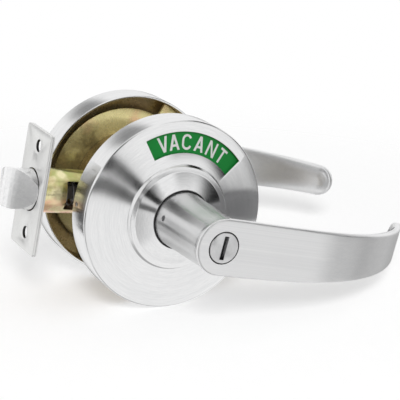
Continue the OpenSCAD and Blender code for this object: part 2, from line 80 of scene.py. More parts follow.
class Value:
    """A shader socket that takes part in Python arithmetic."""

    def __init__(self, graph: "Graph", socket: bpy.types.NodeSocket | None) -> None:
        """Keep the socket and the graph that it belongs to."""
        self.graph = graph
        self.socket = socket

    def __add__(self, other: "Value | float") -> "Value":
        """Sum of two values."""
        return self.graph.math("ADD", self, other)

    __radd__ = __add__

    def __sub__(self, other: "Value | float") -> "Value":
        """Difference of two values."""
        return self.graph.math("SUBTRACT", self, other)

    def __rsub__(self, other: float) -> "Value":
        """Difference of a number and this value."""
        return self.graph.math("SUBTRACT", other, self)

    def __mul__(self, other: "Value | float") -> "Value":
        """Product of two values."""
        return self.graph.math("MULTIPLY", self, other)

    __rmul__ = __mul__

    def __truediv__(self, other: "Value | float") -> "Value":
        """Quotient of two values."""
        return self.graph.math("DIVIDE", self, other)

    def __abs__(self) -> "Value":
        """Size of a value without its sign."""
        return self.graph.math("ABSOLUTE", self)

    def step(self, start: float, end: float) -> "Value":
        """Smooth step of this value, from 0 at start to 1 at end."""
        inputs = {"Value": self, "From Min": start, "From Max": end}
        return self.graph.node("ShaderNodeMapRange", {"interpolation_type": "SMOOTHSTEP"}, inputs)

    def swing(self, base: float, spread: float) -> "Value":
        """Number that follows this noise up and down about a base."""
        return base + (self - NOISE_MIDDLE) * spread


class Graph:
    """Node tree of one material or of the world."""

    def __init__(self, tree: bpy.types.NodeTree) -> None:
        """Empty the tree before anything is added."""
        self.tree = tree
        tree.nodes.clear()

    def node(
        self,
        kind: str,
        settings: dict[str, object] | None = None,
        inputs: dict[int | str, object] | None = None,
        output: int | str = 0,
    ) -> Value:
        """Add a node of any type.

        Args:
            kind: Blender's name of the node type.
            settings: the node's own properties, or a ramp's "stops", which are set first.
            inputs: numbers, colours or values for the sockets, by index or name.
            output: socket to return.

        Returns:
            The chosen output.
        """
        made = self.tree.nodes.new(kind)
        for name, setting in (settings or {}).items():
            if name == "stops":
                self.set_stops(made.color_ramp, setting)
            else:
                setattr(made, name, setting)
        for key, given in (inputs or {}).items():
            if isinstance(given, Value):
                self.tree.links.new(given.socket, made.inputs[key])
            else:
                made.inputs[key].default_value = given
        return Value(self, made.outputs[output] if made.outputs else None)

    @staticmethod
    def set_stops(ramp: bpy.types.ColorRamp, stops: Iterable[tuple[float, Colour]]) -> None:
        """Put a ramp's colours at their places.

        Args:
            ramp: the colour ramp, which starts with two stops.
            stops: place and colour of each stop.
        """
        for i, (place, colour) in enumerate(stops):
            element = ramp.elements[i] if i < len(ramp.elements) else ramp.elements.new(1.0)
            element.position = place
            element.color = (*colour, 1.0)

    def math(self, operation: str, *operands: Value | float) -> Value:
        """Result of a Math node."""
        return self.node("ShaderNodeMath", {"operation": operation}, dict(enumerate(operands)))

    def vector(self, operation: str, *operands: Value | Sequence[float], output: int = 0) -> Value:
        """Result of a Vector Math node, whose output 1 is a number."""
        settings = {"operation": operation}
        return self.node("ShaderNodeVectorMath", settings, dict(enumerate(operands)), output)

    def mix(self, share: Value | float, first: Value | Colour, second: Value | Colour) -> Value:
        """Mix two colours.

        Args:
            share: 0 for the first colour, 1 for the second.
            first: first colour.
            second: second colour.

        Returns:
            The mixed colour.
        """
        colours = [c if isinstance(c, Value) else (*c, 1.0) for c in (first, second)]
        # The sockets for colours, among those for other kinds of data that have the same names
        inputs = {0: share, 6: colours[0], 7: colours[1]}
        return self.node("ShaderNodeMix", {"data_type": "RGBA"}, inputs, 2)

    def place(self) -> Value:
        """Place on the piece, in its own metres."""
        return self.node("ShaderNodeTexCoord", output="Object")

    def coordinate(self, vector: Value, axis: int) -> Value:
        """One of a vector's three numbers."""
        return self.node("ShaderNodeSeparateXYZ", None, {0: vector}, axis)

    def noise(self, vector: Value, scale: float, detail: float = 2.0, roughness: float = 0.5) -> Value:
        """Noise between 0 and 1, with a scale in features per unit of the vector."""
        inputs = {"Vector": vector, "Scale": scale, "Detail": detail, "Roughness": roughness}
        return self.node("ShaderNodeTexNoise", None, inputs, "Fac")

    def bump(self, height: Value, distance: float, strength: float) -> Value:
        """Normal of a surface with a relief whose real height is the distance."""
        inputs = {"Strength": strength, "Distance": distance, "Height": height}
        return self.node("ShaderNodeBump", None, inputs)

    def principled(self, **sockets: object) -> None:
        """Close a material with its surface shader.

        Args:
            sockets: numbers, colours or values, with an underscore for each space in a socket's name.
        """
        inputs = {name.replace("_", " "): given for name, given in sockets.items()}
        shader = self.node("ShaderNodeBsdfPrincipled", None, inputs)
        self.node("ShaderNodeOutputMaterial", None, {"Surface": shader})


def new_material(name: str) -> tuple[bpy.types.Material, Graph]:
    """Start a material.

    Args:
        name: plain name of the finish.

    Returns:
        The material and its empty graph.
    """
    material = bpy.data.materials.new(name)
    material.use_nodes = True
    return material, Graph(material.node_tree)


# Finishes


class Brush(Enum):
    """Ways in which a satin surface was brushed."""

    ROUND = "round its axis"
    ALONG = "along its length"


@dataclass(frozen=True)
class SatinSteel:
    """Satin chromed metal with fine brush lines.

    A line has a length on straight pieces and a turn in radians on round ones. The tone has parts of fine
    lines, broad bands and clouds, and the relief has parts of lines and bands.
    """

    name: str
    way: Brush
    colour: Colour = (0.84, 0.84, 0.84)
    shade: Colour = (0.75, 0.752, 0.757)
    roughness: float = 0.15
    spread: float = 0.05
    anisotropy: float = 0.95
    brush_turn: float = 0.25
    line_w: float = 0.35 * MM
    line_l: float = 87.5 * MM
    line_turn: float = 0.16
    bands_per_line: float = 0.22
    clouds_per_metre: float = 60.0
    tone_parts: Corner = (0.55, 0.3, 0.15)
    tone_range: Point = (0.3, 0.7)
    relief: float = 0.004 * MM
    relief_parts: Point = (0.7, 0.3)
    relief_share: float = 0.6

    def lines(self, graph: Graph) -> Value:
        """Place on the piece, pressed together across the brush lines.

        Args:
            graph: the material's graph.

        Returns:
            Coordinates in which one brush line is about one unit wide.
        """
        place = graph.place()
        if self.way is Brush.ALONG:
            return graph.vector("MULTIPLY", place, (1 / self.line_l, 1 / self.line_w, 1 / self.line_w))
        flat = graph.vector("MULTIPLY", place, (1.0, 1.0, 0.0))
        radius = graph.vector("LENGTH", flat, output=1)
        turn = graph.vector("MULTIPLY", graph.vector("NORMALIZE", flat), (1 / self.line_turn,) * 3)
        across = (radius + graph.coordinate(place, 2)) / self.line_w
        return graph.vector("ADD", turn, graph.node("ShaderNodeCombineXYZ", None, {2: across}))

    def material(self) -> bpy.types.Material:
        """Make the material.

        Returns:
            Metal whose colour, roughness and relief follow the brush lines.
        """
        material, graph = new_material(self.name)
        lines = self.lines(graph)
        fine = graph.noise(lines, 1.0, detail=3.0, roughness=0.6)
        bands = graph.noise(lines, self.bands_per_line, detail=1.0)
        clouds = graph.noise(graph.place(), self.clouds_per_metre)
        tone = fine * self.tone_parts[0] + bands * self.tone_parts[1] + clouds * self.tone_parts[2]
        height = fine * self.relief_parts[0] + bands * self.relief_parts[1]
        graph.principled(
            Base_Color=graph.mix(tone.step(*self.tone_range), self.shade, self.colour),
            Metallic=1.0,
            Roughness=tone.swing(self.roughness, self.spread),
            Anisotropic=self.anisotropy,
            Anisotropic_Rotation=self.brush_turn,
            Normal=graph.bump(height, self.relief, self.relief_share),
        )
        return material


@dataclass(frozen=True)
class YellowZinc:
    """Yellow passivated zinc with its clouds of green and pink, duller where it is worn and where shade is
    painted.

    The tint leans along the piece's X axis and a painted shade grows along its Y axis, by so much per
    metre. The wear has parts of film and grime, and the painted shade is added to it.
    """

    name: str
    gold: Colour = (0.80, 0.70, 0.37)
    olive: Colour = (0.50, 0.49, 0.19)
    pink: Colour = (0.76, 0.53, 0.30)
    # Colour of worn film and of painted shade
    dull_and_shade: Colour = (0.34, 0.26, 0.10)
    cloud: float = 16 * MM
    lean: float = 0.0
    roughness: float = 0.27
    spread: float = 0.2
    metallic: float = 0.55
    # Painted shade along the piece's Y axis: how much it grows per metre, and where it starts
    painted_shade_fall: float = 0.0
    painted_shade_from: float = -26 * MM
    stops: Sequence[float] = (0.3, 0.45, 0.58, 0.72)
    film_from: Corner = (0.3, 0.1, 0.2)
    grains_per_cloud: float = 5.0
    wear_parts: Point = (0.6, 0.4)
    wear_and_shade_range: Point = (0.42, 0.75)
    wear_and_shade_share: float = 0.85
    relief: float = 0.02 * MM
    relief_share: float = 0.12

    def material(self) -> bpy.types.Material:
        """Make the material.

        Returns:
            Metal whose tint drifts over its surface.
        """
        material, graph = new_material(self.name)
        place = graph.place()
        drift = graph.noise(place, 1 / self.cloud, roughness=0.55)
        film = graph.noise(graph.vector("ADD", place, self.film_from), 1 / self.cloud, detail=1.0)
        grime = graph.noise(place, self.grains_per_cloud / self.cloud, detail=4.0, roughness=0.65)
        tints = zip(self.stops, (self.olive, self.gold, self.gold, self.pink))
        leaning = drift + graph.coordinate(place, 0) * self.lean
        tint = graph.node("ShaderNodeValToRGB", {"stops": tints}, {0: leaning})
        # Painted shade: the colour darkens toward the dull colour along the piece's Y axis, by so much per
        # metre, and adds to the wear
        painted_shade = (graph.coordinate(place, 1) - self.painted_shade_from) * self.painted_shade_fall
        wear_and_shade = film * self.wear_parts[0] + grime * self.wear_parts[1] + painted_shade
        graph.principled(
            Base_Color=graph.mix(wear_and_shade.step(*self.wear_and_shade_range) * self.wear_and_shade_share, tint, self.dull_and_shade),
            Metallic=self.metallic,
            Roughness=grime.swing(self.roughness, self.spread),
            Normal=graph.bump(grime, self.relief, self.relief_share),
        )
        return material


@dataclass(frozen=True)
class PlainMetal:
    """Metal without brush lines, with a faint grain."""

    name: str
    colour: Colour
    shade: Colour
    roughness: float = 0.38
    spread: float = 0.18
    grain: float = 1.2 * MM
    clouds_per_grain: float = 0.06
    tone_parts: Point = (0.4, 0.6)
    tone_range: Point = (0.35, 0.65)
    relief: float = 0.01 * MM
    relief_share: float = 0.5

    def material(self) -> bpy.types.Material:
        """Make the material.

        Returns:
            Metal with small changes of tone, gloss and relief.
        """
        material, graph = new_material(self.name)
        place = graph.place()
        grain = graph.noise(place, 1 / self.grain, detail=3.0, roughness=0.6)
        clouds = graph.noise(place, self.clouds_per_grain / self.grain)
        tone = grain * self.tone_parts[0] + clouds * self.tone_parts[1]
        graph.principled(
            Base_Color=graph.mix(tone.step(*self.tone_range), self.shade, self.colour),
            Metallic=1.0,
            Roughness=grain.swing(self.roughness, self.spread),
            Normal=graph.bump(grain, self.relief, self.relief_share),
        )
        return material


@dataclass(frozen=True)
class Coating:
    """Paint, print or moulded plastic, with a faint mottle."""

    name: str
    colour: Colour
    shade: Colour
    roughness: float = 0.4
    mottle: float = 1.5 * MM
    gloss: float = 0.5
    spread: float = 0.15
    tone_range: Point = (0.35, 0.68)
    relief: float = 0.01 * MM
    relief_share: float = 0.4

    def material(self) -> bpy.types.Material:
        """Make the material.

        Returns:
            Coating with small changes of tone and gloss.
        """
        material, graph = new_material(self.name)
        mottle = graph.noise(graph.place(), 1 / self.mottle, detail=3.0, roughness=0.6)
        graph.principled(
            Base_Color=graph.mix(mottle.step(*self.tone_range), self.shade, self.colour),
            Roughness=mottle.swing(self.roughness, self.spread),
            Specular_IOR_Level=self.gloss,
            Normal=graph.bump(mottle, self.relief, self.relief_share),
        )
        return material


class Finish(Enum):
    """Every finish of the lock, with the record's slot that it belongs to."""

    TURNED_SATIN = (SatinSteel("turned_satin", Brush.ROUND), "satin_steel")
    LEVER_SATIN = (
        SatinSteel("lever_satin", Brush.ALONG, (0.88, 0.88, 0.88), (0.80, 0.802, 0.806), 0.38),
        "satin_steel",
    )
    # Dark copy of the lever's satin: painted shade on the back of the outside lever, which the outside rose
    # mirrors
    LEVER_BACK = (
        SatinSteel("lever_back_shade", Brush.ALONG, (0.38, 0.38, 0.385), (0.32, 0.32, 0.325), 0.42),
        "satin_steel",
    )
    NECK_SATIN = (SatinSteel("neck_satin", Brush.ALONG, roughness=0.24, brush_turn=0.0), "satin_steel")
    PLUG_SATIN = (
        SatinSteel("plug_satin", Brush.ROUND, (0.70, 0.70, 0.70), (0.60, 0.602, 0.606), 0.3),
        "satin_steel",
    )
    BOLT_SATIN = (
        SatinSteel("bolt_satin", Brush.ALONG, (0.96, 0.96, 0.96), (0.86, 0.86, 0.865), 0.26),
        "satin_steel",
    )
    PLATE_STEEL = (PlainMetal("plate_steel", (0.80, 0.80, 0.79), (0.71, 0.71, 0.70), 0.36), "satin_steel")
    # Near black for the walls of holes and the coin slot: painted shade in recesses
    DARK_HOLE = (PlainMetal("hole_shade", (0.06, 0.06, 0.062), (0.03, 0.03, 0.031), 0.5), "satin_steel")
    YELLOW_ZINC = (YellowZinc("yellow_zinc"), "yellow_zinc")
    # Lighter gold than the yellow zinc as painted light, with a near black dull colour painted as shade
    # along the cage's Y axis
    CAGE_ZINC = (
        YellowZinc(
            "cage_zinc_light_and_shade", (1.0, 0.89, 0.44), (0.68, 0.70, 0.24), (0.92, 0.60, 0.34), (0.17, 0.125, 0.045),
            painted_shade_fall=15.0,
        ),
        "yellow_zinc",
    )
    # Darker copy of the yellow zinc: painted shade on the chassis wall, which faces away from the light
    CHASSIS_ZINC = (
        YellowZinc(
            "shaded_chassis_zinc", (0.46, 0.35, 0.16), (0.34, 0.30, 0.11), (0.48, 0.31, 0.20), (0.26, 0.18, 0.08),
        ),
        "yellow_zinc",
    )
    # Gold and brown on the back of the satin steel roses: painted reflection of the yellow zinc cage, and
    # painted shade inside the rim
    ROSE_BACK = (
        YellowZinc(
            "rose_back_reflection_and_shade", (0.62, 0.50, 0.27), (0.50, 0.43, 0.21), (0.64, 0.48, 0.28), (0.34, 0.27, 0.14),
            cloud=22 * MM,
        ),
        "satin_steel",
    )
    TUBE_ZINC = (
        YellowZinc(
            "tube_zinc", (0.92, 0.84, 0.50), (0.50, 0.52, 0.19), (0.86, 0.52, 0.36), (0.62, 0.46, 0.22),
            cloud=9 * MM, lean=22.0, roughness=0.2, metallic=0.8,
        ),
        "yellow_zinc",
    )
    INNER_STEEL = (PlainMetal("inner_steel", (0.56, 0.55, 0.53), (0.42, 0.41, 0.40), 0.4), "inner_steel")
    SPRING_STEEL = (PlainMetal("spring_steel", (0.36, 0.36, 0.37), (0.24, 0.24, 0.25), 0.3), "spring_steel")
    BLACK_NYLON = (Coating("black_nylon", (0.012, 0.012, 0.013), (0.006, 0.006, 0.007), 0.5), "black_nylon")
    GREEN_PAINT = (
        Coating("green_paint", (0.001, 0.175, 0.038), (0.001, 0.16, 0.034), 0.6, 4 * MM, gloss=0.05),
        "green_paint",
    )
    RED_PAINT = (Coating("red_paint", (0.52, 0.015, 0.02), (0.46, 0.012, 0.016), 0.45, 4 * MM), "red_paint")
    WHITE_PRINT = (
        Coating("white_print", (0.86, 0.86, 0.85), (0.80, 0.80, 0.79), 0.5, 3 * MM),
        "green_paint",
    )

    def __init__(self, recipe: SatinSteel | YellowZinc | PlainMetal | Coating, slot: str) -> None:
        """Keep the recipe and the slot apart."""
        self.recipe = recipe
        self.slot = slot

    def material(self) -> bpy.types.Material:
        """The finish's one material, made on first use."""
        return bpy.data.materials.get(self.recipe.name) or self.recipe.material()


# Meshes


class Skin:
    """Gathers the points and faces of one mesh."""

    def __init__(self) -> None:
        """Start with nothing."""
        self.mesh = bmesh.new()

    def ring(self, points: Iterable[Sequence[float]]) -> Row:
        """New vertices at a row of places."""
        return [self.mesh.verts.new(point) for point in points]

    def face(self, *corners: bmesh.types.BMVert) -> None:
        """Add a face, leaving out corners that fall together.

        Args:
            corners: the face's vertices in order.
        """
        distinct = list(dict.fromkeys(corners))
        if len(distinct) > 2:
            self.mesh.faces.new(distinct)

    def bridge(self, first: Row, second: Row, closed: bool = True) -> None:
        """Join two rows of points with faces.

        Args:
            first: one row.
            second: the other, with as many points.
            closed: whether the rows run round.
        """
        count = len(first)
        for i in range(count if closed else count - 1):
            j = (i + 1) % count
            self.face(first[i], first[j], second[j], second[i])

    def loft(self, rows: Sequence[Row], capped: bool = True) -> None:
        """Join closed rows of points, one after the other.

        Args:
            rows: the rows, from one end to the other.
            capped: whether both ends are closed by a face.
        """
        for first, second in zip(rows, rows[1:]):
            self.bridge(first, second)
        if capped:
            self.face(*reversed(rows[0]))
            self.face(*rows[-1])

    def made(self, name: str) -> bpy.types.Object:
        """Turn the gathered mesh into an object.

        Args:
            name: the piece's name.

        Returns:
            The object, with its faces turned outward.
        """
        bmesh.ops.recalc_face_normals(self.mesh, faces=self.mesh.faces)
        data = bpy.data.meshes.new(name)
        self.mesh.to_mesh(data)
        self.mesh.free()
        piece = bpy.data.objects.new(name, data)
        bpy.context.scene.collection.objects.link(piece)
        return piece


def polar(radius: float, angle: float) -> Point:
    """Point at a radius and an angle."""
    return radius * math.cos(angle), radius * math.sin(angle)


def fan(columns: int, start: float = 0.0) -> list[float]:
    """Angles of evenly spaced columns in a full turn."""
    return [start + FULL_TURN * j / columns for j in range(columns)]


def rotation(angle: float, axis: str) -> Matrix:
    """Turn about an axis by an angle in degrees."""
    return Matrix.Rotation(math.radians(angle), 4, axis)


def rounded(corners: Sequence[Corner], steps: int = 5) -> list[Point]:
    """Outline whose corners are rounded.

    Args:
        corners: both coordinates and the radius of each corner of a closed outline.
        steps: number of chords in each rounded corner.

    Returns:
        The outline's points. A corner with no radius stays as it is.
    """
    points: list[Point] = []
    for i, (x, y, radius) in enumerate(corners):
        if radius <= 0:
            points.append((x, y))
            continue
        corner = Vector((x, y))
        before = (Vector(corners[i - 1][:2]) - corner).normalized()
        after = (Vector(corners[(i + 1) % len(corners)][:2]) - corner).normalized()
        half = before.angle(after) / 2
        centre = corner + (before + after).normalized() * (radius / math.sin(half))
        start = corner + before * (radius / math.tan(half)) - centre
        end = corner + after * (radius / math.tan(half)) - centre
        first = math.atan2(start.y, start.x)
        sweep = (math.atan2(end.y, end.x) - first + math.pi) % FULL_TURN - math.pi
        for k in range(steps + 1):
            across, up = polar(radius, first + sweep * k / steps)
            points.append((centre.x + across, centre.y + up))
    return points


def oblong(low: Point, high: Point, radius: float, steps: int = 5) -> list[Point]:
    """Rectangle with rounded corners, given by two of them and the rounding."""
    corners = (low, (high[0], low[1]), high, (low[0], high[1]))
    return rounded([(x, y, radius) for x, y in corners], steps)


@dataclass(frozen=True)
class Opening:
    """Opening through a turned sheet, between two of its outline's points on each face."""

    outer: tuple[int, int]
    inner: tuple[int, int]
    columns: int

    def holds(self, row: int, column: int) -> bool:
        """Whether a cell of the turned mesh lies in the opening."""
        return row in (self.outer[0], self.inner[0]) and column < self.columns

    def line(self, skin: Skin, rows: Sequence[Row]) -> None:
        """Close the sheet with walls round the opening.

        Args:
            skin: the turned mesh.
            rows: its rows of vertices.
        """
        corners = [rows[i] for i in (*self.outer, *self.inner)]
        end = self.columns + 1
        for row, other in ((corners[0], corners[3]), (corners[1], corners[2])):
            skin.bridge(row[:end], other[:end], closed=False)
        for j in (0, self.columns):
            skin.face(*(row[j] for row in corners))


def turned(
    name: str,
    profile: Sequence[Point],
    start: float = 0.0,
    opening: Opening | None = None,
    columns: int = COLUMNS,
) -> bpy.types.Object:
    """Turn a closed outline about the local Z axis.

    Args:
        name: the piece's name.
        profile: radius and height of each point.
        start: angle of the first column.
        opening: cells that are left out, with walls round them.
        columns: number of columns in the full turn.

    Returns:
        The closed mesh.
    """
    skin = Skin()
    angles = fan(columns, start)
    rows = []
    for radius, height in profile:
        if radius <= 0:
            rows.append(skin.ring([(0.0, 0.0, height)]) * columns)
        else:
            rows.append(skin.ring((*polar(radius, a), height) for a in angles))
    for i, row in enumerate(rows):
        after = rows[(i + 1) % len(rows)]
        for j in range(columns):
            if opening is None or not opening.holds(i, j):
                k = (j + 1) % columns
                skin.face(row[j], row[k], after[k], after[j])
    if opening:
        opening.line(skin, rows)
    return skin.made(name)


def prism(name: str, outline: Sequence[Point], low: float, high: float) -> bpy.types.Object:
    """Extrude a closed outline along the local Z axis.

    Args:
        name: the piece's name.
        outline: its points.
        low: height of the lower face.
        high: height of the upper face.

    Returns:
        The closed mesh.
    """
    skin = Skin()
    skin.loft([skin.ring((x, y, z) for x, y in outline) for z in (low, high)])
    return skin.made(name)


def rod(name: str, radius: float, low: float, high: float, columns: int = 96) -> bpy.types.Object:
    """Round cutter or bar along the local Z axis, between two heights."""
    return prism(name, [polar(radius, a) for a in fan(columns)], low, high)


def wire(name: str, path: Sequence[Vector], radius: float, sides: int = 12) -> bpy.types.Object:
    """Sweep a round wire along a path.

    Args:
        name: the piece's name.
        path: points along the wire's middle.
        radius: radius of the wire.
        sides: number of sides of the wire.

    Returns:
        The closed mesh.
    """
    skin = Skin()
    rings = []
    side = (path[1] - path[0]).orthogonal().normalized()
    for i, point in enumerate(path):
        along = (path[min(i + 1, len(path) - 1)] - path[max(i - 1, 0)]).normalized()
        side = (side - along * side.dot(along)).normalized()
        other = along.cross(side)
        spots = [polar(radius, a) for a in fan(sides)]
        rings.append(skin.ring(point + side * x + other * y for x, y in spots))
    skin.loft(rings)
    return skin.made(name)


def sector(name: str, radii: Point, heights: Point, angles: Point, steps: int = 24) -> bpy.types.Object:
    """Part of a flat ring about the local Z axis.

    Args:
        name: the piece's name.
        radii: inner and outer radius.
        heights: height of the lower and the upper face.
        angles: local angles of both ends, in degrees.
        steps: number of chords along it.

    Returns:
        The closed mesh.
    """
    turns = [math.radians(angles[0] + (angles[1] - angles[0]) * k / steps) for k in range(steps + 1)]
    outline = [polar(radii[1], a) for a in turns] + [polar(radii[0], a) for a in reversed(turns)]
    return prism(name, outline, *heights)


def placed(piece: bpy.types.Object, matrix: Matrix) -> bpy.types.Object:
    """The piece, moved to its place."""
    piece.matrix_world = matrix
    return piece


def settle(piece: bpy.types.Object) -> None:
    """Keep what the modifiers make of a piece, and take them off.

    Args:
        piece: the piece.
    """
    bpy.context.view_layer.update()
    evaluated = piece.evaluated_get(bpy.context.evaluated_depsgraph_get())
    data = bpy.data.meshes.new_from_object(evaluated)
    piece.modifiers.clear()
    piece.data = data


def carve(piece: bpy.types.Object, *tools: bpy.types.Object, way: str = "DIFFERENCE") -> None:
    """Cut tools out of a piece, or join them to it.

    Args:
        piece: the piece that stays.
        tools: closed meshes that are used up.
        way: the boolean's operation.
    """
    for tool in tools:
        modifier = piece.modifiers.new("carve", "BOOLEAN")
        modifier.operation = way
        modifier.solver = "EXACT"
        modifier.object = tool
    settle(piece)
    for tool in tools:
        bpy.data.objects.remove(tool)


def soften(piece: bpy.types.Object, width: float, steps: int = 2, angle: float = 60.0) -> None:
    """Round the sharp edges of a piece.

    Args:
        piece: the piece.
        width: width of the rounding.
        steps: number of faces across it.
        angle: edges sharper than this are rounded, in degrees.
    """
    modifier = piece.modifiers.new("soften", "BEVEL")
    modifier.width = width
    modifier.segments = steps
    modifier.limit_method = "ANGLE"
    modifier.angle_limit = math.radians(angle)
    modifier.miter_outer = "MITER_ARC"
    settle(piece)


def dress(piece: bpy.types.Object, finish: Finish, body: str, *nodes: str, crease: float = 35.0) -> None:
    """Finish a piece and let it ride on its body.

    Args:
        piece: the placed piece.
        finish: what it is covered with.
        body: the body that it moves with.
        nodes: the construction's nodes that it stands for.
        crease: angle above which an edge stays sharp, in degrees.
    """
    piece.data.shade_smooth()
    piece.data.set_sharp_from_angle(angle=math.radians(crease))
    piece.data.materials.clear()
    piece.data.materials.append(finish.material())
    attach(piece, body)
    if nodes:
        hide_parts(*nodes)
    log.info("%s rides on %s", piece.name, body)


def paint(piece: bpy.types.Object, finish: Finish, covers: Callable[[bpy.types.MeshPolygon], bool]) -> None:
    """Give some faces of a dressed piece a finish of their own.

    Args:
        piece: the dressed piece.
        finish: what these faces are covered with.
        covers: whether a face is one of them.
    """
    piece.data.materials.append(finish.material())
    index = len(piece.data.materials) - 1
    for face in piece.data.polygons:
        if covers(face):
            face.material_index = index


class Lie(Enum):
    """Directions along which a mesh made on the local Z axis is laid."""

    OUTSIDE = (90.0, "X")
    INSIDE = (-90.0, "X")
    LATCH = (90.0, "Y")

    def matrix(self) -> Matrix:
        """Turn that lays the local Z axis along the direction."""
        return rotation(*self.value)


class Side(Enum):
    """The two sides of the door."""

    OUTSIDE = "outside"
    INSIDE = "inside"

    def node(self, name: str) -> str:
        """Full name of a node or piece of this side."""
        return f"{self.value}_{name}"

    @property
    def sign(self) -> int:
        """Sign of this side along Y."""
        return -1 if self is Side.OUTSIDE else 1

    @property
    def lie(self) -> Lie:
        """Direction from the door out along the lock's axis."""
        return Lie.OUTSIDE if self is Side.OUTSIDE else Lie.INSIDE

    def local(self, angle: float) -> float:
        """Angle about the local Z axis for an angle from straight up toward the levers, in degrees."""
        return -self.sign * (90.0 - angle)

    def reach(self, node: str) -> Point:
        """Least and greatest distance of one of this side's nodes from the middle of the door."""
        low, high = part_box(self.node(node))
        return tuple(sorted((abs(low.y), abs(high.y))))


# Roses


@dataclass
class Window:
    """Indicator window in the outside rose, with angles from straight up toward the levers."""

    outer: float = 39.85 * MM
    inner: float = 30.15 * MM
    half: float = 39.0
    turn: float = 6.5
    edge: float = 0.25 * MM

    @property
    def start(self) -> float:
        """Local angle of the window's far edge, in radians."""
        return math.radians(90.0 - self.turn - self.half)

    @property
    def columns(self) -> int:
        """Number of the rose's columns that the window takes up."""
        return round(2 * self.half / 360 * COLUMNS)


@dataclass
class Rose:
    """Round pressed cover of one side, with a conical face and a raised step.

    Each pair of edges is the rounding on the front and on the back of the sheet.
    """

    side: Side
    window: Window | None = None
    wall: float = 1.2 * MM
    rim_depth: float = 14.0 * MM
    rim_edge: float = 0.9 * MM
    face_rise: float = 3.0 * MM
    step_r: float = 25.0 * MM
    step_h: float = 1.6 * MM
    step_slope: float = 0.8 * MM
    step_flat: float = 2.2 * MM
    cone_rise: float = 3.0 * MM
    hole_r: float = 13.95 * MM
    foot_edges: Point = (0.4 * MM, 0.25 * MM)
    step_edges: Point = (0.3 * MM, 0.2 * MM)
    flat_edges: Point = (1.3 * MM, 0.4 * MM)
    hole_edges: Point = (0.35 * MM, 0.1 * MM)
    pin_r: float = 0.9 * MM
    pin_depth: float = 4.4 * MM
    back_in: float = 0.84 * MM
    back_slant: float = 0.5

    def __post_init__(self) -> None:
        """Take the door's face and the outer radius from the frame."""
        self.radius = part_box(self.side.node("rose"))[1].x
        self.door = self.side.reach("rose")[0]

    def face_depth(self, radius: float) -> float:
        """Depth of the conical face at a radius, from the door."""
        face_r = self.radius - self.rim_edge
        return self.rim_depth + self.face_rise * (face_r - radius) / (face_r - self.step_r)

    def corners(self) -> list[Corner]:
        """Outline of the sheet from the door's face round and back.

        Returns:
            Radius, depth from the door and rounding of each corner. Only the window's corners are sharp.
        """
        step = self.rim_depth + self.face_rise
        flat = step + self.step_h
        top = flat + self.cone_rise
        back = self.radius - self.wall
        slope_r = self.step_r - self.step_slope
        flat_r = slope_r - self.step_flat
        rim = [
            (back, 0.0, self.foot_edges[1]),
            (self.radius, 0.0, self.foot_edges[0]),
            (self.radius, self.rim_depth, self.rim_edge),
        ]
        front = [
            (self.step_r, step, self.step_edges[0]),
            (slope_r, flat, self.step_edges[0]),
            (flat_r, flat, self.flat_edges[0]),
            (self.hole_r, top, self.hole_edges[0]),
        ]
        behind = [
            (self.hole_r, top - self.wall, self.hole_edges[1]),
            (flat_r, flat - self.wall, self.flat_edges[1]),
            (slope_r - self.wall, flat - self.wall, self.step_edges[1]),
            (self.step_r - self.wall, step - self.wall, self.step_edges[1]),
        ]
        end = [(back, self.rim_depth - self.wall, self.rim_edge)]
        if not self.window:
            return rim + front + behind + end
        edges = [(r, self.face_depth(r), 0.0) for r in (self.window.outer, self.window.inner)]
        back_edges = [(r, depth - self.wall, 0.0) for r, depth, _ in reversed(edges)]
        return rim + edges + front + behind + back_edges + end

    def on_back(self, face: bpy.types.MeshPolygon) -> bool:
        """Whether a face lies on the back of the sheet.

        Args:
            face: a face of the rose.

        Returns:
            True on the back, False on the front, on the rim and round the hole.
        """
        place, way = face.center, face.normal
        out = math.hypot(place.x, place.y)
        inward = way.x * place.x + way.y * place.y < 0 and out > self.hole_r + self.wall
        back = way.z < -self.back_slant or inward and way.z < self.back_slant
        return back and out < self.radius - self.back_in

    def build(self) -> None:
        """Make and dress the rose."""
        name = self.side.node("rose")
        corners = self.corners()
        profile = rounded(corners, steps=6)
        lifted = [(r, self.door + depth) for r, depth in profile]
        if self.window:
            marks = [profile.index(c[:2]) for c in corners if c[2] == 0.0]
            opening = Opening((marks[0], marks[1]), (marks[2], marks[3]), self.window.columns)
            rose = placed(turned(name, lifted, self.window.start, opening), self.side.lie.matrix())
            pin = rod("pin_hole", self.pin_r, -self.radius - MM, -self.radius + 2 * self.wall, columns=32)
            spot = Matrix.Translation((0.0, self.side.sign * (self.door + self.pin_depth), 0.0))
            carve(rose, placed(pin, spot @ Lie.LATCH.matrix()))
            soften(rose, self.window.edge)
        else:
            rose = placed(turned(name, lifted), self.side.lie.matrix())
        dress(rose, Finish.TURNED_SATIN, "lock_body", name)
        # The back of the sheet gets painted reflection of the cage and painted shade
        paint(rose, Finish.ROSE_BACK, self.on_back)


# Levers


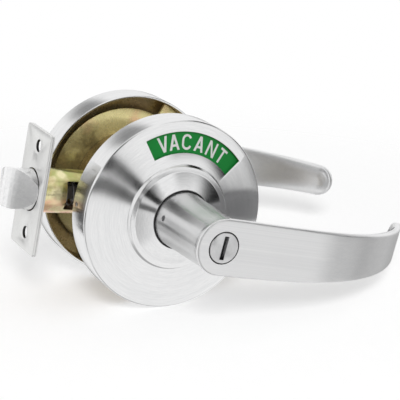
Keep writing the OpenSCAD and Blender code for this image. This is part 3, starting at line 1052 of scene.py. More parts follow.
@dataclass
class Lever:
    """Return lever of one side: a turned neck and a flat blade that bends back to the door."""

    side: Side
    blade_h: float = 25.6 * MM
    blade_t: float = 5.25 * MM
    straight: float = 47.0 * MM
    return_r: float = 94.0 * MM
    return_angle: float = 61.4
    tip_rise: float = 9.0 * MM
    edge: float = 1.0 * MM
    back_in: float = 7.0 * MM
    back_edge: float = 2.5 * MM
    back_reach: float = 114.0 * MM
    neck_r: float = 13.3 * MM
    neck_top_r: float = 12.5 * MM
    neck_low: float = 36.9 * MM
    blend_r: float = 9.0 * MM
    flare_power: int = 3
    plug_hole_r: float = 7.45 * MM
    bore_r: float = 9.6 * MM
    floor_t: float = 6.55 * MM
    catch_r: float = 1.4 * MM
    catch_out: float = 45.6 * MM
    catch_depth: float = 3.0 * MM
    catch_turn: float = 275.0
    root_steps: int = 20
    run_steps: int = 72
    tip_steps: int = 14
    rise_steps: int = 8
    edge_steps: int = 7
    blend_steps: int = 12
    neck_columns: int = 144

    def __post_init__(self) -> None:
        """Take the outer face from the frame, and work out the blade's whole run."""
        self.face_y = self.side.reach("lever")[1]
        self.middle_r = self.return_r - self.blade_t / 2
        self.tip_r = (self.blade_h - self.tip_rise) / 2
        self.end = self.straight + self.middle_r * math.radians(self.return_angle)

    def bent(self, run: float, height: float, depth: float) -> Vector:
        """Place of a point of the flat blade once it is bent.

        Args:
            run: distance along the blade from the lock's axis.
            height: height above the latch's axis.
            depth: depth below the outer face.

        Returns:
            The point, on this lever's side of the door.
        """
        turn = max(0.0, run - self.straight) / self.middle_r
        radius = self.return_r - depth
        x = min(run, self.straight) + radius * math.sin(turn)
        y = self.face_y - self.return_r + radius * math.cos(turn)
        return Vector((x, self.side.sign * y, height))

    def depth(self, place: Vector) -> float:
        """Depth of a point of the bent blade below its outer face.

        Args:
            place: the point.

        Returns:
            The depth, measured square to the face.
        """
        out = abs(place.y)
        if place.x < self.straight:
            return self.face_y - out
        return self.return_r - math.hypot(place.x - self.straight, out - self.face_y + self.return_r)

    def chains(self) -> tuple[list[Point], list[Point]]:
        """Upper and lower edge of the flat blade.

        Returns:
            Run and height of the points of both edges, from the root's end to the tip's end.
        """
        half = self.blade_h / 2
        tip_run = self.end - self.tip_r
        tip_z = half - self.tip_r
        reach = self.bent(tip_run, 0.0, self.blade_t / 2).x
        upper: list[Point] = []
        lower: list[Point] = []
        for i in range(self.root_steps):
            run, height = polar(half, math.pi - QUARTER * i / self.root_steps)
            upper.append((run, height))
            lower.append((run, -height))
        for i in range(self.run_steps):
            run = tip_run * i / self.run_steps
            share = self.bent(run, 0.0, self.blade_t / 2).x / reach
            upper.append((run, half))
            lower.append((run, -half + self.tip_rise * share**2))
        for i in range(self.tip_steps + 1):
            run, height = polar(self.tip_r, QUARTER * (1 - i / self.tip_steps))
            upper.append((tip_run + run, tip_z + height))
            lower.append((tip_run + run, tip_z - height))
        return upper, lower

    def blade(self) -> bpy.types.Object:
        """Make the bent blade with its rounded edges.

        Returns:
            The closed mesh.
        """
        upper, lower = self.chains()
        loop = upper + lower[-2:0:-1]
        count = len(loop)
        inward = []
        for i in range(count):
            along = Vector(loop[(i + 1) % count]) - Vector(loop[i - 1])
            inward.append(Vector((along.y, -along.x)).normalized())
        quarter = [QUARTER * k / self.edge_steps for k in range(self.edge_steps + 1)]
        layers = [(self.edge * (1 - math.sin(a)), self.edge * (1 - math.cos(a))) for a in quarter]
        for a in reversed(quarter):
            inset = self.back_in * (1 - math.sin(a))
            layers.append((inset, self.blade_t - self.back_edge * (1 - math.cos(a))))
        skin = Skin()
        rings = []
        for inset, depth in layers:
            flat = [Vector(p) + n * inset for p, n in zip(loop, inward)]
            rings.append((flat, depth, skin.ring(self.bent(p.x, p.y, depth) for p in flat)))
        skin.loft([verts for _, _, verts in rings], capped=False)
        for flat, depth, verts in (rings[0], rings[-1]):
            self.close(skin, flat, depth, verts, len(upper))
        return skin.made("blade")

    def close(self, skin: Skin, flat: list[Vector], depth: float, verts: Row, length: int) -> None:
        """Close one face of the blade with a grid between its upper and lower edge.

        Args:
            skin: the blade's mesh.
            flat: outline of the face before it is bent.
            depth: depth of the face.
            verts: the outline's vertices.
            length: number of points in each edge.
        """
        lower = [0, *range(len(flat) - 1, length - 1, -1), length - 1]
        rows = [verts[:length]]
        for k in range(1, self.rise_steps):
            share = k / self.rise_steps
            between = [flat[i].lerp(flat[j], share) for i, j in zip(range(length), lower)]
            inner = skin.ring(self.bent(p.x, p.y, depth) for p in between[1:-1])
            rows.append([verts[0], *inner, verts[length - 1]])
        rows.append([verts[i] for i in lower])
        for first, second in zip(rows, rows[1:]):
            skin.bridge(first, second, closed=False)

    def neck(self) -> bpy.types.Object:
        """Make the turned neck, which flares into the back of the blade.

        Returns:
            The closed mesh.
        """
        back = self.face_y - self.blade_t
        levels = [(self.neck_low, 0.0)]
        for k in range(self.blend_steps + 1):
            up = self.blend_r * (1 - math.sin(QUARTER * k / self.blend_steps))
            flare = self.blend_r - math.sqrt(self.blend_r**2 - (self.blend_r - up) ** 2)
            levels.append((back - up, flare))
        levels.append((back + self.blade_t / 2, self.blend_r))
        skin = Skin()
        rings = []
        for y, flare in levels:
            share = (y - self.neck_low) / (back - self.neck_low)
            radius = self.neck_r + (self.neck_top_r - self.neck_r) * min(share, 1.0)
            ring = []
            for a in fan(self.neck_columns):
                x, z = polar(radius + flare * max(0.0, math.cos(a)) ** self.flare_power, a)
                ring.append((x, self.side.sign * y, z))
            rings.append(skin.ring(ring))
        skin.loft(rings)
        return skin.made("neck")

    def on_neck(self, face: bpy.types.MeshPolygon) -> bool:
        """Whether a face belongs to the neck or to the wall round the blade's root.

        Args:
            face: a face of the lever.

        Returns:
            True there, False on the rest of the blade.
        """
        depth = self.depth(face.center)
        below = depth > self.blade_t + self.edge and face.center.x < self.neck_r + self.edge
        return below or (face.center.x < 0 and depth > self.edge)

    def on_back(self, face: bpy.types.MeshPolygon) -> bool:
        """Whether a face belongs to the blade's back, short of the bend of its tip."""
        deep = self.depth(face.center) > self.blade_t / 2
        return deep and face.center.x < self.back_reach and not self.on_neck(face)

    def build(self) -> None:
        """Make and dress the lever."""
        name = self.side.node("lever")
        lie = self.side.lie.matrix()
        lever = self.blade()
        lever.name = name
        carve(lever, self.neck(), way="UNION")
        hole = rod("plug_hole", self.plug_hole_r, self.face_y - 2 * self.floor_t, self.face_y + MM)
        bore = rod("bore", self.bore_r, self.neck_low - MM, self.face_y - self.floor_t)
        bottom = self.neck_r - self.catch_depth
        catch = rod("catch_hole", self.catch_r, bottom, self.neck_r + MM, columns=32)
        spot = Matrix.Translation((0.0, self.side.sign * self.catch_out, 0.0))
        placed(catch, spot @ rotation(self.catch_turn, "Y"))
        carve(lever, placed(hole, lie), placed(bore, lie), catch)
        if self.side is Side.OUTSIDE:
            placed(lever, rotation(LEVER_DROOP, "Y"))
        dress(lever, Finish.LEVER_SATIN, name, name, crease=28.0)
        paint(lever, Finish.NECK_SATIN, self.on_neck)
        # The back of the outside lever is painted darker, as painted shade
        if self.side is Side.OUTSIDE:
            paint(lever, Finish.LEVER_BACK, self.on_back)


# Coin plug and turn button


@dataclass
class Knob:
    """Round end of the lock bar, in the end of a lever."""

    radius: float = 6.95 * MM
    edge: float = 0.35 * MM
    back_edge: float = 0.2 * MM

    def disc(self, name: str, back: float, front: float) -> bpy.types.Object:
        """Make the round part, about the local Z axis and between two heights."""
        rim = [(self.radius, back, self.back_edge), (self.radius, front, self.edge)]
        return turned(name, rounded([(0.0, back, 0.0), *rim, (0.0, front, 0.0)]), columns=96)


@dataclass
class CoinPlug(Knob):
    """Round plug with a coin slot, in the end of the outside lever."""

    slot_l: float = 10.6 * MM
    slot_w: float = 2.1 * MM
    slot_depth: float = 2.0 * MM
    slot_corner: float = 0.3 * MM
    slot_edge: float = 0.2 * MM

    def build(self) -> None:
        """Make and dress the plug."""
        low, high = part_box("coin_plug")
        back, front = abs(high.y), abs(low.y)
        plug = self.disc("coin_plug", back, front)
        half, ends = self.slot_w / 2, self.slot_l / 2
        outline = oblong((-half, -ends), (half, ends), self.slot_corner)
        carve(plug, prism("coin_slot", outline, front - self.slot_depth, front + MM))
        soften(plug, self.slot_edge)
        placed(plug, rotation(LEVER_DROOP, "Y") @ Lie.OUTSIDE.matrix())
        dress(plug, Finish.PLUG_SATIN, "lock_bar", "coin_plug")

        def in_slot(face: bpy.types.MeshPolygon) -> bool:
            """Whether a face lies in the slot."""
            reach = math.hypot(face.center.x, face.center.y)
            return face.center.z < front - self.edge and reach < ends + self.edge

        # The slot's floor and walls get painted shade
        paint(plug, Finish.DARK_HOLE, in_slot)


@dataclass
class TurnButton(Knob):
    """Round button with a wing, in the end of the inside lever."""

    wing_half: float = 1.8 * MM
    wing_r: float = 6.5 * MM
    wing_h: float = 7.7 * MM
    wing_corner: float = 2.2 * MM
    wing_edge: float = 0.7 * MM

    def build(self) -> None:
        """Make and dress the button."""
        low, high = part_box("turn_button")
        top = high.y
        face = top - self.wing_h
        button = self.disc("turn_button", low.y, face)
        foot = [(-self.wing_r, face - MM, 0.0), (self.wing_r, face - MM, 0.0)]
        head = [(self.wing_r, top, self.wing_corner), (-self.wing_r, top, self.wing_corner)]
        wing = prism("wing", rounded(foot + head), -self.wing_half, self.wing_half)
        soften(wing, self.wing_edge, steps=3, angle=50.0)
        # The wing's outline stands along Y and Z, with its thickness along X
        upright = Matrix(((0, 0, 1, 0), (1, 0, 0, 0), (0, 1, 0, 0), (0, 0, 0, 1)))
        carve(button, placed(wing, upright), way="UNION")
        placed(button, Lie.INSIDE.matrix())
        dress(button, Finish.PLUG_SATIN, "lock_bar", "turn_button")


# Spring cages and chassis


@dataclass
class Cage:
    """Dished plate behind one rose, with tabs for the rose and a post for the spring."""

    side: Side
    sheet: float = 1.4 * MM
    dish: float = 2.2 * MM
    brim: float = 0.6 * MM
    brim_edge: float = 0.2 * MM
    dish_r: float = 30.0 * MM
    bend: float = 30.0 * MM
    radius: float = 36.2 * MM
    hole_r: float = 12.6 * MM
    hole_edge: float = 0.3 * MM
    tab_angles: Sequence[float] = (30.0, 110.0, 190.0)
    tab_half: float = 8.0
    tab_r: float = 43.5 * MM
    post_angle: float = 90.0
    post_orbit: float = 21.0 * MM
    post_r: float = 1.2 * MM
    slot_r: Point = (12.5 * MM, 15.4 * MM)
    slot_angles: Point = (132.5, 240.5)
    bolt_angles: Sequence[float] = (120.0, 240.0)
    bolt_orbit: float = 20.5 * MM
    bolt_r: float = 2.0 * MM

    def at(self, angle: float, orbit: float, tool: bpy.types.Object) -> bpy.types.Object:
        """The tool, moved from the axis out to its orbit."""
        spot = polar(orbit, math.radians(self.side.local(angle)))
        return placed(tool, Matrix.Translation((*spot, 0.0)))

    def build(self) -> None:
        """Make and dress the cage."""
        name = self.side.node("cage")
        local = self.side.local
        near, post_top = self.side.reach("cage")
        top = near + self.sheet
        profile = [
            (self.hole_r, near, self.hole_edge),
            (self.dish_r, near, self.bend),
            (self.radius, near + self.dish, self.brim_edge),
            (self.radius, near + self.dish + self.brim, self.brim_edge),
            (self.dish_r, top, self.bend),
            (self.hole_r, top, self.hole_edge),
        ]
        cage = turned(name, rounded(profile, steps=6))
        added = []
        for angle in self.tab_angles:
            ends = (local(angle - self.tab_half), local(angle + self.tab_half))
            added.append(sector("tab", (self.radius - self.sheet, self.tab_r), (near, top), ends))
        post = rod("post", self.post_r, near + MM, post_top, columns=32)
        added.append(self.at(self.post_angle, self.post_orbit, post))
        carve(cage, *added, way="UNION")
        through = (near - MM, top + MM)
        ends = (local(self.slot_angles[0]), local(self.slot_angles[1]))
        cut = [sector("slot", self.slot_r, through, ends, steps=40)]
        for angle in self.bolt_angles:
            hole = rod("bolt_hole", self.bolt_r, *through, columns=40)
            cut.append(self.at(angle, self.bolt_orbit, hole))
        carve(cage, *cut)
        placed(cage, self.side.lie.matrix())
        # The cage's zinc carries painted light and painted shade
        dress(cage, Finish.CAGE_ZINC, "lock_body", name)


@dataclass
class Chassis:
    """Rolled shell between the two cages, with a round opening for the latch."""

    wall: float = 1.6 * MM
    opening_r: float = 10.5 * MM
    edge: float = 0.5 * MM

    def build(self) -> None:
        """Make and dress the shell."""
        low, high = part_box("chassis_shell")
        profile = oblong((high.x - self.wall, low.y), (high.x, high.y), self.edge)
        shell = placed(turned("chassis_shell", profile), Lie.INSIDE.matrix())
        opening = rod("opening", self.opening_r, -2 * high.x, 0.0, columns=128)
        carve(shell, placed(opening, Lie.LATCH.matrix()))
        # The shell is dressed in the darker zinc, which is painted shade
        dress(shell, Finish.CHASSIS_ZINC, "lock_body", "chassis_shell")


# Latch


@dataclass
class Latch:
    """Tube, plates and bevelled bolt in the door's edge, along the X axis."""

    tube_wall: float = 0.8 * MM
    tube_edge: float = 0.24 * MM
    window_x: Point = (-45.0 * MM, -38.0 * MM)
    window_share: float = 0.65
    window_corner: float = 0.8 * MM
    corner: float = 2.0 * MM
    plate_edge: float = 0.2 * MM
    screw_r: float = 2.75 * MM
    screw_at: float = 20.65 * MM
    sink_r: float = 4.2 * MM
    sink_depth: float = 0.72 * MM
    wall_band: float = 0.1 * MM
    play: float = 0.45 * MM
    fit: float = 0.05 * MM
    bolt_flat: float = 7.5 * MM
    bevel: float = 42.0
    bevel_lead: float = 0.5 * MM
    nose_r: float = 3.0 * MM
    bulge: float = 0.6 * MM
    bolt_edge: float = 0.5 * MM
    bolt_steps: int = 8

    def __post_init__(self) -> None:
        """Take the plates' and the bolt's reach from the frame."""
        low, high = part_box("latch_bolt")
        self.tip = low.x
        self.rear = high.x
        self.bolt_r = high.z
        self.plate_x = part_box("face_plate")[0].x
        self.tube_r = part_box("latch_tube")[1].z

    def tube(self) -> None:
        """Make and dress the tube with its side windows."""
        low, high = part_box("latch_tube")
        profile = oblong((self.tube_r - self.tube_wall, low.x), (self.tube_r, high.x), self.tube_edge)
        tube = placed(turned("latch_tube", profile, columns=144), Lie.LATCH.matrix())
        half = self.tube_r * self.window_share
        outline = oblong((self.window_x[0], -half), (self.window_x[1], half), self.window_corner)
        window = prism("window", outline, -2 * self.tube_r, 2 * self.tube_r)
        carve(tube, placed(window, Lie.OUTSIDE.matrix()))
        dress(tube, Finish.TUBE_ZINC, "lock_body", "latch_tube")

    def sink(self, face: float) -> bpy.types.Object:
        """Make the cutter of a countersink.

        Args:
            face: height of the plate's face.

        Returns:
            The closed cone, which stands as far before the face as it goes below it.
        """
        before, below = face - self.sink_depth, face + self.sink_depth
        wide = 2 * self.sink_r - self.screw_r
        profile = [(0.0, before), (wide, before), (self.screw_r, below), (0.0, below)]
        return turned("sink", profile, columns=48)

    def plate(self, name: str, hole_r: float, sunk: bool) -> None:
        """Make and dress one of the two plates.

        Args:
            name: the plate's node.
            hole_r: radius of the hole for the bolt or the tube.
            sunk: whether the screw holes are countersunk.
        """
        low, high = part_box(name)
        plate = prism(name, oblong((low.z, low.y), (high.z, high.y), self.corner, steps=8), low.x, high.x)
        through = (low.x - MM, high.x + MM)
        tools = [rod("bolt_hole", hole_r, *through)]
        for side in (-1, 1):
            spot = Matrix.Translation((side * self.screw_at, 0.0, 0.0))
            tools.append(placed(rod("screw_hole", self.screw_r, *through, columns=48), spot))
            if sunk:
                tools.append(placed(self.sink(low.x), spot))
        carve(plate, *tools)
        soften(plate, self.plate_edge, steps=3, angle=30.0)
        placed(plate, Lie.LATCH.matrix())
        dress(plate, Finish.PLATE_STEEL, "lock_body", name)

        def in_hole(face: bpy.types.MeshPolygon) -> bool:
            """Whether a face lies on the wall of a hole.

            Args:
                face: a face of the plate.

            Returns:
                True on a wall.
            """
            off_screw = math.hypot(abs(face.center.x) - self.screw_at, face.center.y) - self.screw_r
            off_bolt = math.hypot(face.center.x, face.center.y) - hole_r
            return min(off_screw, off_bolt) < self.wall_band

        # The hole walls get painted shade
        paint(plate, Finish.DARK_HOLE, in_hole)

    def bolt(self) -> None:
        """Make and dress the bevelled bolt."""
        bevel = math.radians(self.bevel)
        throw = self.plate_x - self.tip
        past = 2 * self.bolt_r
        foot = Vector((self.plate_x, -self.bolt_r + self.bevel_lead))
        reach = (self.nose_r + (throw - self.nose_r) * math.sin(bevel)) / math.cos(bevel)
        nose = Vector((self.tip + self.nose_r, foot.y + reach))
        shares = [k / self.bolt_steps for k in range(self.bolt_steps + 1)]
        turns = [3 * QUARTER - bevel - (QUARTER - bevel) * share for share in shares]
        tip = [nose + Vector(polar(self.nose_r, a)) for a in turns]
        out = Vector((-math.sin(bevel), -math.cos(bevel)))
        slope = [foot.lerp(tip[0], t) + out * (4 * self.bulge * t * (1 - t)) for t in shares[:-1]]
        outline = [(self.rear, self.bolt_flat), (self.rear, -past), (self.plate_x, -past)]
        outline += [tuple(point) for point in slope + tip]
        outline += [(self.tip, self.bolt_flat - MM), (self.tip + MM, self.bolt_flat)]
        bolt = prism("latch_bolt", outline, -past, past)
        round_bar = rod("round_bar", self.bolt_r, self.tip - MM, self.rear + MM, columns=160)
        carve(bolt, placed(round_bar, Lie.LATCH.matrix()), way="INTERSECT")
        soften(bolt, self.bolt_edge, steps=4, angle=30.0)
        dress(bolt, Finish.BOLT_SATIN, "latch_bolt", "latch_bolt", crease=40.0)

    def build(self) -> None:
        """Make every piece of the latch that shows."""
        self.tube()
        self.plate("face_plate", self.bolt_r + self.play, True)
        self.plate("backing_plate", self.tube_r + self.fit, False)
        self.bolt()


# Springs


@dataclass
class Springs:
    """The four wound springs, each one unbroken wire."""

    curl: int = 36
    latch_wire: float = 1.0 * MM
    latch_turns: float = 7.0
    latch_keep: float = 0.46
    retractor_wire: float = 0.8 * MM
    retractor_turns: float = 4.0
    retractor_keep: float = 0.2
    return_r: float = 17.0 * MM
    return_wire: float = 1.4 * MM
    post_angle: float = 90.0
    tab_angle: float = 270.0
    leg_turn: float = 6.0
    leg_r: float = 22.2 * MM

    def push(self, name: str, wire_d: float, turns: float, keep: float) -> None:
        """Make a spring along X that a slide presses together.

        Args:
            name: the spring's node.
            wire_d: diameter of the wire.
            turns: number of turns.
            keep: share of its length that is left at the slide's limit; not used.
        """
        low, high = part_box(name)
        count = round(self.curl * turns)
        radius = high.z - wire_d / 2
        start, end = low.x + wire_d / 2, high.x - wire_d / 2
        path = []
        for i in range(count + 1):
            spot = polar(radius, FULL_TURN * turns * i / count)
            path.append(Vector((start + (end - start) * i / count, *spot)))
        spring = wire(name, path, wire_d / 2)
        dress(spring, Finish.SPRING_STEEL, "lock_body", name)
        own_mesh(spring)

    def back(self, side: Side) -> None:
        """Make the spring that brings one lever back, with a leg at the post and one at the tab.

        Args:
            side: the lever's side.
        """
        name = side.node("return_spring")
        near, far = side.reach("return_spring")
        start = self.post_angle - self.leg_turn
        end = self.tab_angle + self.leg_turn + 360.0
        count = round(self.curl * (end - start) / 360.0)
        coil = [(self.return_r, i / count) for i in range(count + 1)]
        rise = far - near - self.return_wire
        path = []
        for radius, share in [(self.leg_r, 0.0), *coil, (self.leg_r, 1.0)]:
            up, across = polar(radius, math.radians(start + (end - start) * share))
            y = near + self.return_wire / 2 + rise * share
            path.append(Vector((across, side.sign * y, up)))
        dress(wire(name, path, self.return_wire / 2), Finish.SPRING_STEEL, "lock_body", name)

    def build(self) -> None:
        """Make all four."""
        self.push("latch_spring", self.latch_wire, self.latch_turns, self.latch_keep)
        self.push(
            "retractor_spring",
            self.retractor_wire, self.retractor_turns, self.retractor_keep,
        )
        for side in Side:
            self.back(side)


# Indicator words


@dataclass(frozen=True)
class Capitals:
    """Plain narrow capitals of one stroke width, drawn about their own middle.

    The leg and the foot of a slanted stroke are shares of the stroke, and the rest are shares of half
    the width or the height.
    """

    height: float = 7.1 * MM
    width: float = 5.0 * MM
    stroke: float = 1.05 * MM
    steps: int = 12
    leg: float = 1.1
    foot: float = 0.6
    a_bar: Point = (-0.55, -0.25)
    n_notch: float = 0.5
    t_arm: float = 0.85
    e_arm: float = 0.75
    e_middle: float = 0.7
    open_end: float = 20.0

    def mirrored(self, shape: Sequence[Point]) -> list[Point]:
        """Shape turned over from left to right."""
        return [(-x, y) for x, y in shape]

    def arc(self, middle: float, radius: float, start: float, end: float) -> list[Point]:
        """Points along an arc about a point of the upright axis, with angles in degrees."""
        angles = [math.radians(start + (end - start) * k / self.steps) for k in range(self.steps + 1)]
        return [(x, middle + y) for x, y in (polar(radius, a) for a in angles)]

    def ribbon(self, path: Sequence[Point]) -> list[list[Point]]:
        """Draw a stroke that follows a path.

        Args:
            path: points along the stroke's middle.

        Returns:
            The stroke's cells, from one point to the next.
        """
        sides = []
        for i, point in enumerate(path):
            along = Vector(path[min(i + 1, len(path) - 1)]) - Vector(path[max(i - 1, 0)])
            across = Vector((-along.y, along.x)).normalized() * (self.stroke / 2)
            sides.append((tuple(Vector(point) + across), tuple(Vector(point) - across)))
        return [[a[0], b[0], b[1], a[1]] for a, b in zip(sides, sides[1:])]

    def shapes(self, letter: str) -> list[list[Point]]:
        """Cells that make up a letter.

        Args:
            letter: one of A, C, E, I, N, S, T, U and V.

        Returns:
            Outlines that meet at their corners and don't overlap.
        """
        w, h, s = self.width / 2, self.height / 2, self.stroke
        leg, foot = self.leg * s, self.foot * s
        tip = h - (w - leg) * 2 * h / (w - foot)
        bend = w - s / 2
        if letter == "V":
            return [[(-w, h), (leg - w, h), (0.0, tip), (w - leg, h), (w, h), (foot, -h), (-foot, -h)]]
        if letter == "A":
            bar = [share * h for share in self.a_bar]
            inner = [((leg - w) * (-tip - y) / (h - tip), y) for y in bar]
            half = [(-foot, h), (0.0, h), (0.0, -tip), inner[1], inner[0], (leg - w, -h), (-w, -h)]
            return [half, self.mirrored(half), [*inner, *reversed(self.mirrored(inner))]]
        if letter == "C":
            top = self.arc(h - w, bend, self.open_end, 180.0)
            return self.ribbon(top + [(x, -y) for x, y in reversed(top)])
        if letter == "U":
            return self.ribbon([(-bend, h), *self.arc(w - h, bend, 180.0, 360.0), (bend, h)])
        if letter == "S":
            bow = (h - s / 2) / 2
            upper = self.arc(bow, bow, self.open_end, 270.0)
            return self.ribbon(upper + [(-x, -y) for x, y in reversed(upper[:-1])])
        if letter == "N":
            half = [(-w, -h), (-w, h), (leg - w, h), (w - s, -self.n_notch * h), (w - s, h)]
            return [half + [(-x, -y) for x, y in half]]
        if letter == "T":
            arm = self.t_arm * w
            half = [(arm, h), (arm, h - s), (s / 2, h - s), (s / 2, -h)]
            return [half + self.mirrored(half[::-1])]
        if letter == "E":
            arm = self.e_arm * w
            middle = self.e_middle * arm
            top = [(-arm, 0.0), (-arm, h), (arm, h), (arm, h - s), (s - arm, h - s)]
            half = top + [(s - arm, s / 2), (middle, s / 2), (middle, 0.0)]
            return [half, [(x, -y) for x, y in half]]
        return [[(-s / 2, h), (s / 2, h), (s / 2, -h), (-s / 2, -h)]]


@dataclass
class Word:
    """State word printed on one of the indicator's plates."""

    name: str
    letters: Sequence[tuple[str, float]]
    turn: float
    middle_r: float = 34.85 * MM
    behind: float = 1.5 * MM
    print_t: float = 0.04 * MM
    merge: float = 0.0001 * MM

    def spot(self, rose: Rose, turn: float, x: float, y: float) -> Corner:
        """Place of a letter's point on the plate.

        Args:
            rose: the rose whose face the plate follows.
            turn: angle of the letter from straight up, in radians.
            x: distance to the right of the letter's middle.
            y: distance out from the letter's middle.

        Returns:
            The place in the lock's frame.
        """
        out = self.middle_r + y
        across = out * math.sin(turn) + x * math.cos(turn)
        up = out * math.cos(turn) - x * math.sin(turn)
        depth = rose.door + rose.face_depth(math.hypot(across, up)) - self.behind
        return across, -depth, up

    def build(self, rose: Rose) -> None:
        """Make and dress the word.

        Args:
            rose: the rose whose face the plate follows.
        """
        skin = Skin()
        capitals = Capitals()
        for letter, angle in self.letters:
            turn = math.radians(self.turn + angle)
            corners: dict[tuple[int, int], bmesh.types.BMVert] = {}
            faces = []
            for shape in capitals.shapes(letter):
                ring = []
                for x, y in shape:
                    key = (round(x / self.merge), round(y / self.merge))
                    if key not in corners:
                        corners[key] = skin.ring([self.spot(rose, turn, x, y)])[0]
                    ring.append(corners[key])
                faces.append(skin.mesh.faces.new(ring))
            lifted = bmesh.ops.extrude_face_region(skin.mesh, geom=faces)["geom"]
            moved = [item for item in lifted if isinstance(item, bmesh.types.BMVert)]
            bmesh.ops.translate(skin.mesh, verts=moved, vec=(0.0, -self.print_t, 0.0))
        dress(skin.made(self.name), Finish.WHITE_PRINT, "lock_bar")


WORDS = (
    Word(
        "vacant_word",
        (("V", -27.0), ("A", -18.0), ("C", -7.3), ("A", 3.9), ("N", 15.4), ("T", 25.8)),
        Window.turn,
    ),
    Word(
        "in_use_word",
        (("I", -21.0), ("N", -13.0), ("U", 2.5), ("S", 12.5), ("E", 22.0)),
        Window.turn + LOCK_TURN,
    ),
)


# Studio


@dataclass
class Floor:
    """Pale floor under the roses, tilted as the lock leans on it, which fades out at its edge."""

    lean: float = 10.6
    radius: float = 0.38
    fade: float = 0.13
    colour: Colour = (0.97, 0.97, 0.97)
    glow: float = 0.36

    def material(self) -> bpy.types.Material:
        """Make the fading material.

        Returns:
            Matt white that is clear at the floor's edge and from below.
        """
        material, graph = new_material("pale_floor")
        eye = graph.node("ShaderNodeLightPath", output="Is Camera Ray")
        matt = graph.node("ShaderNodeBsdfDiffuse", None, {"Color": (*self.colour, 1.0)})
        white = graph.node("ShaderNodeEmission", None, {"Strength": eye * self.glow})
        pale = graph.node("ShaderNodeAddShader", None, {0: matt, 1: white})
        clear = graph.node("ShaderNodeBsdfTransparent")
        reach = graph.vector("LENGTH", graph.place(), output=1)
        below = graph.node("ShaderNodeNewGeometry", output="Backfacing")
        share = graph.math("MAXIMUM", reach.step(self.fade, self.radius), below)
        mixed = graph.node("ShaderNodeMixShader", None, {0: share, 1: pale, 2: clear})
        graph.node("ShaderNodeOutputMaterial", None, {"Surface": mixed})
        return material

    def build(self) -> None:
        """Make the floor."""
        disc = turned("floor", [(0.0, 0.0), (self.radius, 0.0), (self.radius, -MM), (0.0, -MM)], columns=96)
        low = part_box("inside_rose")[0]
        placed(disc, rotation(-self.lean, "Y") @ Matrix.Translation((0.0, 0.0, low.z)))
        disc.data.materials.append(self.material())
        disc.visible_glossy = False


@dataclass(frozen=True)
class Card:
    """Grey or black card of the studio, seen only in reflections.

    Its azimuth runs from straight outside toward the levers' tips. All its measures but the level are
    angles in degrees.
    """

    azimuth: float
    elevation: float
    tilt: float
    half_l: float
    half_w: float
    soft: float
    level: float
    ahead_range: Point = (0.0, 0.05)

    def mask(self, graph: Graph, view: Value) -> Value:
        """Where the card covers the surroundings.

        Args:
            graph: the world's graph.
            view: direction in which a reflection looks.

        Returns:
            1 on the card and 0 off it.
        """
        azimuth, elevation = math.radians(self.azimuth), math.radians(self.elevation)
        out, up = polar(1.0, elevation)
        middle = Vector((out * math.sin(azimuth), -out * math.cos(azimuth), up))
        along = Matrix.Rotation(math.radians(self.tilt), 3, middle) @ middle.cross(UP).normalized()
        across = along.cross(middle)
        cover = graph.vector("DOT_PRODUCT", view, tuple(middle), output=1).step(*self.ahead_range)
        for axis, half in ((along, self.half_l), (across, self.half_w)):
            shift = abs(graph.vector("DOT_PRODUCT", view, tuple(axis), output=1))
            low, high = (math.sin(math.radians(half + k * self.soft)) for k in (-1, 1))
            cover = cover * shift.step(high, low)
        return cover


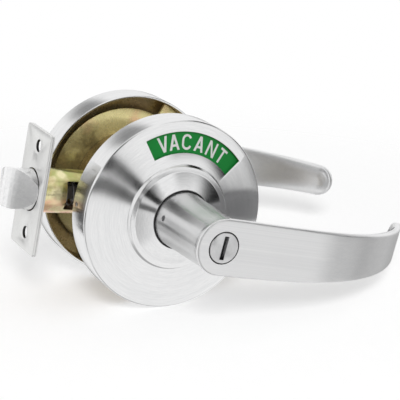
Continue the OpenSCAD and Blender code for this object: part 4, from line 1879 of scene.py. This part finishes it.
@dataclass
class Studio:
    """White surroundings, cards, a soft lamp and the camera, whose places are in millimetres."""

    ambient: float = 0.42
    cards: Sequence[Card] = (
        # Below, and in front on both sides
        Card(28.0, -80.0, 0.0, 30.0, 24.0, 8.0, 0.55),
        Card(-37.0, -20.0, 0.0, 29.0, 23.0, 5.0, 0.5),
        Card(-56.0, -20.0, 0.0, 17.0, 5.0, 2.0, 0.0),
        Card(-47.0, 42.0, 0.0, 24.0, 16.0, 4.0, 0.0),
        Card(38.0, 27.0, 0.0, 18.0, 7.0, 5.0, 0.4),
        # Behind, on the latch's side
        Card(-172.0, 31.0, 0.0, 11.0, 9.0, 5.0, 0.2),
        Card(-151.0, -2.0, 0.0, 10.0, 5.0, 3.0, 0.0),
        # On the levers' side, round to the back
        Card(66.0, 9.0, 0.0, 19.0, 17.0, 8.0, 0.0),
        Card(80.0, 50.0, 0.0, 24.0, 11.0, 5.0, 0.0),
        Card(90.0, -13.0, 0.0, 16.0, 14.0, 8.0, 0.4),
        Card(124.0, -13.0, 0.0, 17.0, 15.0, 5.0, 0.42),
        Card(161.0, -13.5, 0.0, 15.0, 12.0, 3.0, 0.0),
        # Dark wedge on the outside rose, and the light line through it
        Card(-6.0, -5.6, -8.0, 27.0, 2.5, 1.0, 0.1),
        Card(-4.0, 4.8, -33.0, 28.0, 3.0, 0.9, 0.0),
        Card(-10.0, 10.5, 0.0, 11.0, 6.5, 1.5, 0.0),
        Card(-6.0, -0.8, -17.0, 27.0, 0.65, 0.3, 0.85),
    )
    lamp_at: Corner = (-1230.0, -2130.0, 1600.0)
    lamp_size: float = 800 * MM
    lamp_power: float = 32.0
    eye: Corner = (-295.4, -554.8, 148.5)
    aim: Corner = (22.3, -12.4, 2.4)
    roll: float = 10.75
    focal_share: float = 3.36
    sensor: float = 36.0
    shift: Point = (0.0055, 0.001)
    nearest: float = 10 * MM

    def surroundings(self) -> None:
        """White for the eye, cards for reflections and even light for the rest."""
        world = bpy.data.worlds.new("studio")
        world.use_nodes = True
        world.cycles.sampling_method = "NONE"
        bpy.context.scene.world = world
        graph = Graph(world.node_tree)
        view = graph.node("ShaderNodeTexCoord", output="Generated")
        shown: Value | Colour = WHITE
        for card in self.cards:
            shown = graph.mix(card.mask(graph, view), shown, (card.level,) * 3)
        names = [f"Is {kind} Ray" for kind in ("Camera", "Glossy", "Transmission")]
        eye, glossy, through = (graph.node("ShaderNodeLightPath", output=name) for name in names)
        even = graph.mix(graph.math("MAXIMUM", glossy, through), (self.ambient,) * 3, shown)
        colour = graph.mix(eye, even, WHITE)
        light = graph.node("ShaderNodeBackground", None, {"Color": colour, "Strength": 1.0})
        graph.node("ShaderNodeOutputWorld", None, {"Surface": light})

    def lamp(self) -> None:
        """Add the soft square lamp, which points at the lock."""
        data = bpy.data.lights.new("key_lamp", "AREA")
        data.size = self.lamp_size
        data.energy = self.lamp_power
        lamp = bpy.data.objects.new("key_lamp", data)
        bpy.context.scene.collection.objects.link(lamp)
        lamp.visible_glossy = False
        lamp.location = Vector(self.lamp_at) * MM
        lamp.rotation_euler = (-lamp.location).to_track_quat("-Z", "Y").to_euler()

    def camera(self) -> None:
        """Set the camera at the photograph's viewing angle."""
        data = bpy.data.cameras.new("eye")
        data.sensor_width = self.sensor
        data.lens = self.sensor * self.focal_share
        data.shift_x, data.shift_y = self.shift
        data.clip_start = self.nearest
        eye = bpy.data.objects.new("eye", data)
        bpy.context.scene.collection.objects.link(eye)
        place = Vector(self.eye) * MM
        ahead = (Vector(self.aim) * MM - place).normalized()
        right = Matrix.Rotation(math.radians(-self.roll), 3, ahead) @ ahead.cross(UP).normalized()
        turn = Matrix((right, right.cross(ahead), -ahead)).transposed()
        eye.matrix_world = Matrix.Translation(place) @ turn.to_4x4()
        bpy.context.scene.camera = eye

    def build(self) -> None:
        """Make everything round the lock."""
        self.camera()
        self.surroundings()
        self.lamp()
        Floor().build()
        bpy.context.scene.view_settings.view_transform = "Standard"


# The lock


PAIRED_NODES: dict[str, Finish] = {
    "bush": Finish.BLACK_NYLON,
    "hub": Finish.YELLOW_ZINC,
    "spindle": Finish.INNER_STEEL,
    "driver": Finish.INNER_STEEL,
    "catch": Finish.SPRING_STEEL,
}
SINGLE_NODES: dict[str, Finish] = {
    "through_bolts": Finish.INNER_STEEL,
    "retractor_guide": Finish.YELLOW_ZINC,
    "retractor": Finish.INNER_STEEL,
    "latch_end_cap": Finish.YELLOW_ZINC,
    "latch_tail": Finish.INNER_STEEL,
    "lock_bar": Finish.INNER_STEEL,
    "indicator_yoke": Finish.INNER_STEEL,
    "indicator_ring": Finish.INNER_STEEL,
    "vacant_plate": Finish.GREEN_PAINT,
    "occupied_plate": Finish.RED_PAINT,
}


def dress_nodes() -> None:
    """Cover the construction's own meshes with their finishes."""
    paired = {side.node(name): finish for name, finish in PAIRED_NODES.items() for side in Side}
    for name, finish in (paired | SINGLE_NODES).items():
        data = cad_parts[name].data
        data.materials.clear()
        data.materials.append(finish.material())
        log.info("%s is %s", name, finish.name.lower())


def main() -> None:
    """Build the studio and the lock, piece by piece."""
    logging.basicConfig(level=logging.INFO, format="%(message)s")
    Studio().build()
    dress_nodes()
    outside = Rose(Side.OUTSIDE, Window())
    outside.build()
    Rose(Side.INSIDE).build()
    for side in Side:
        Lever(side).build()
        Cage(side).build()
    CoinPlug().build()
    TurnButton().build()
    Chassis().build()
    Latch().build()
    Springs().build()
    for word in WORDS:
        word.build(outside)


if __name__ == "__main__":
    main()
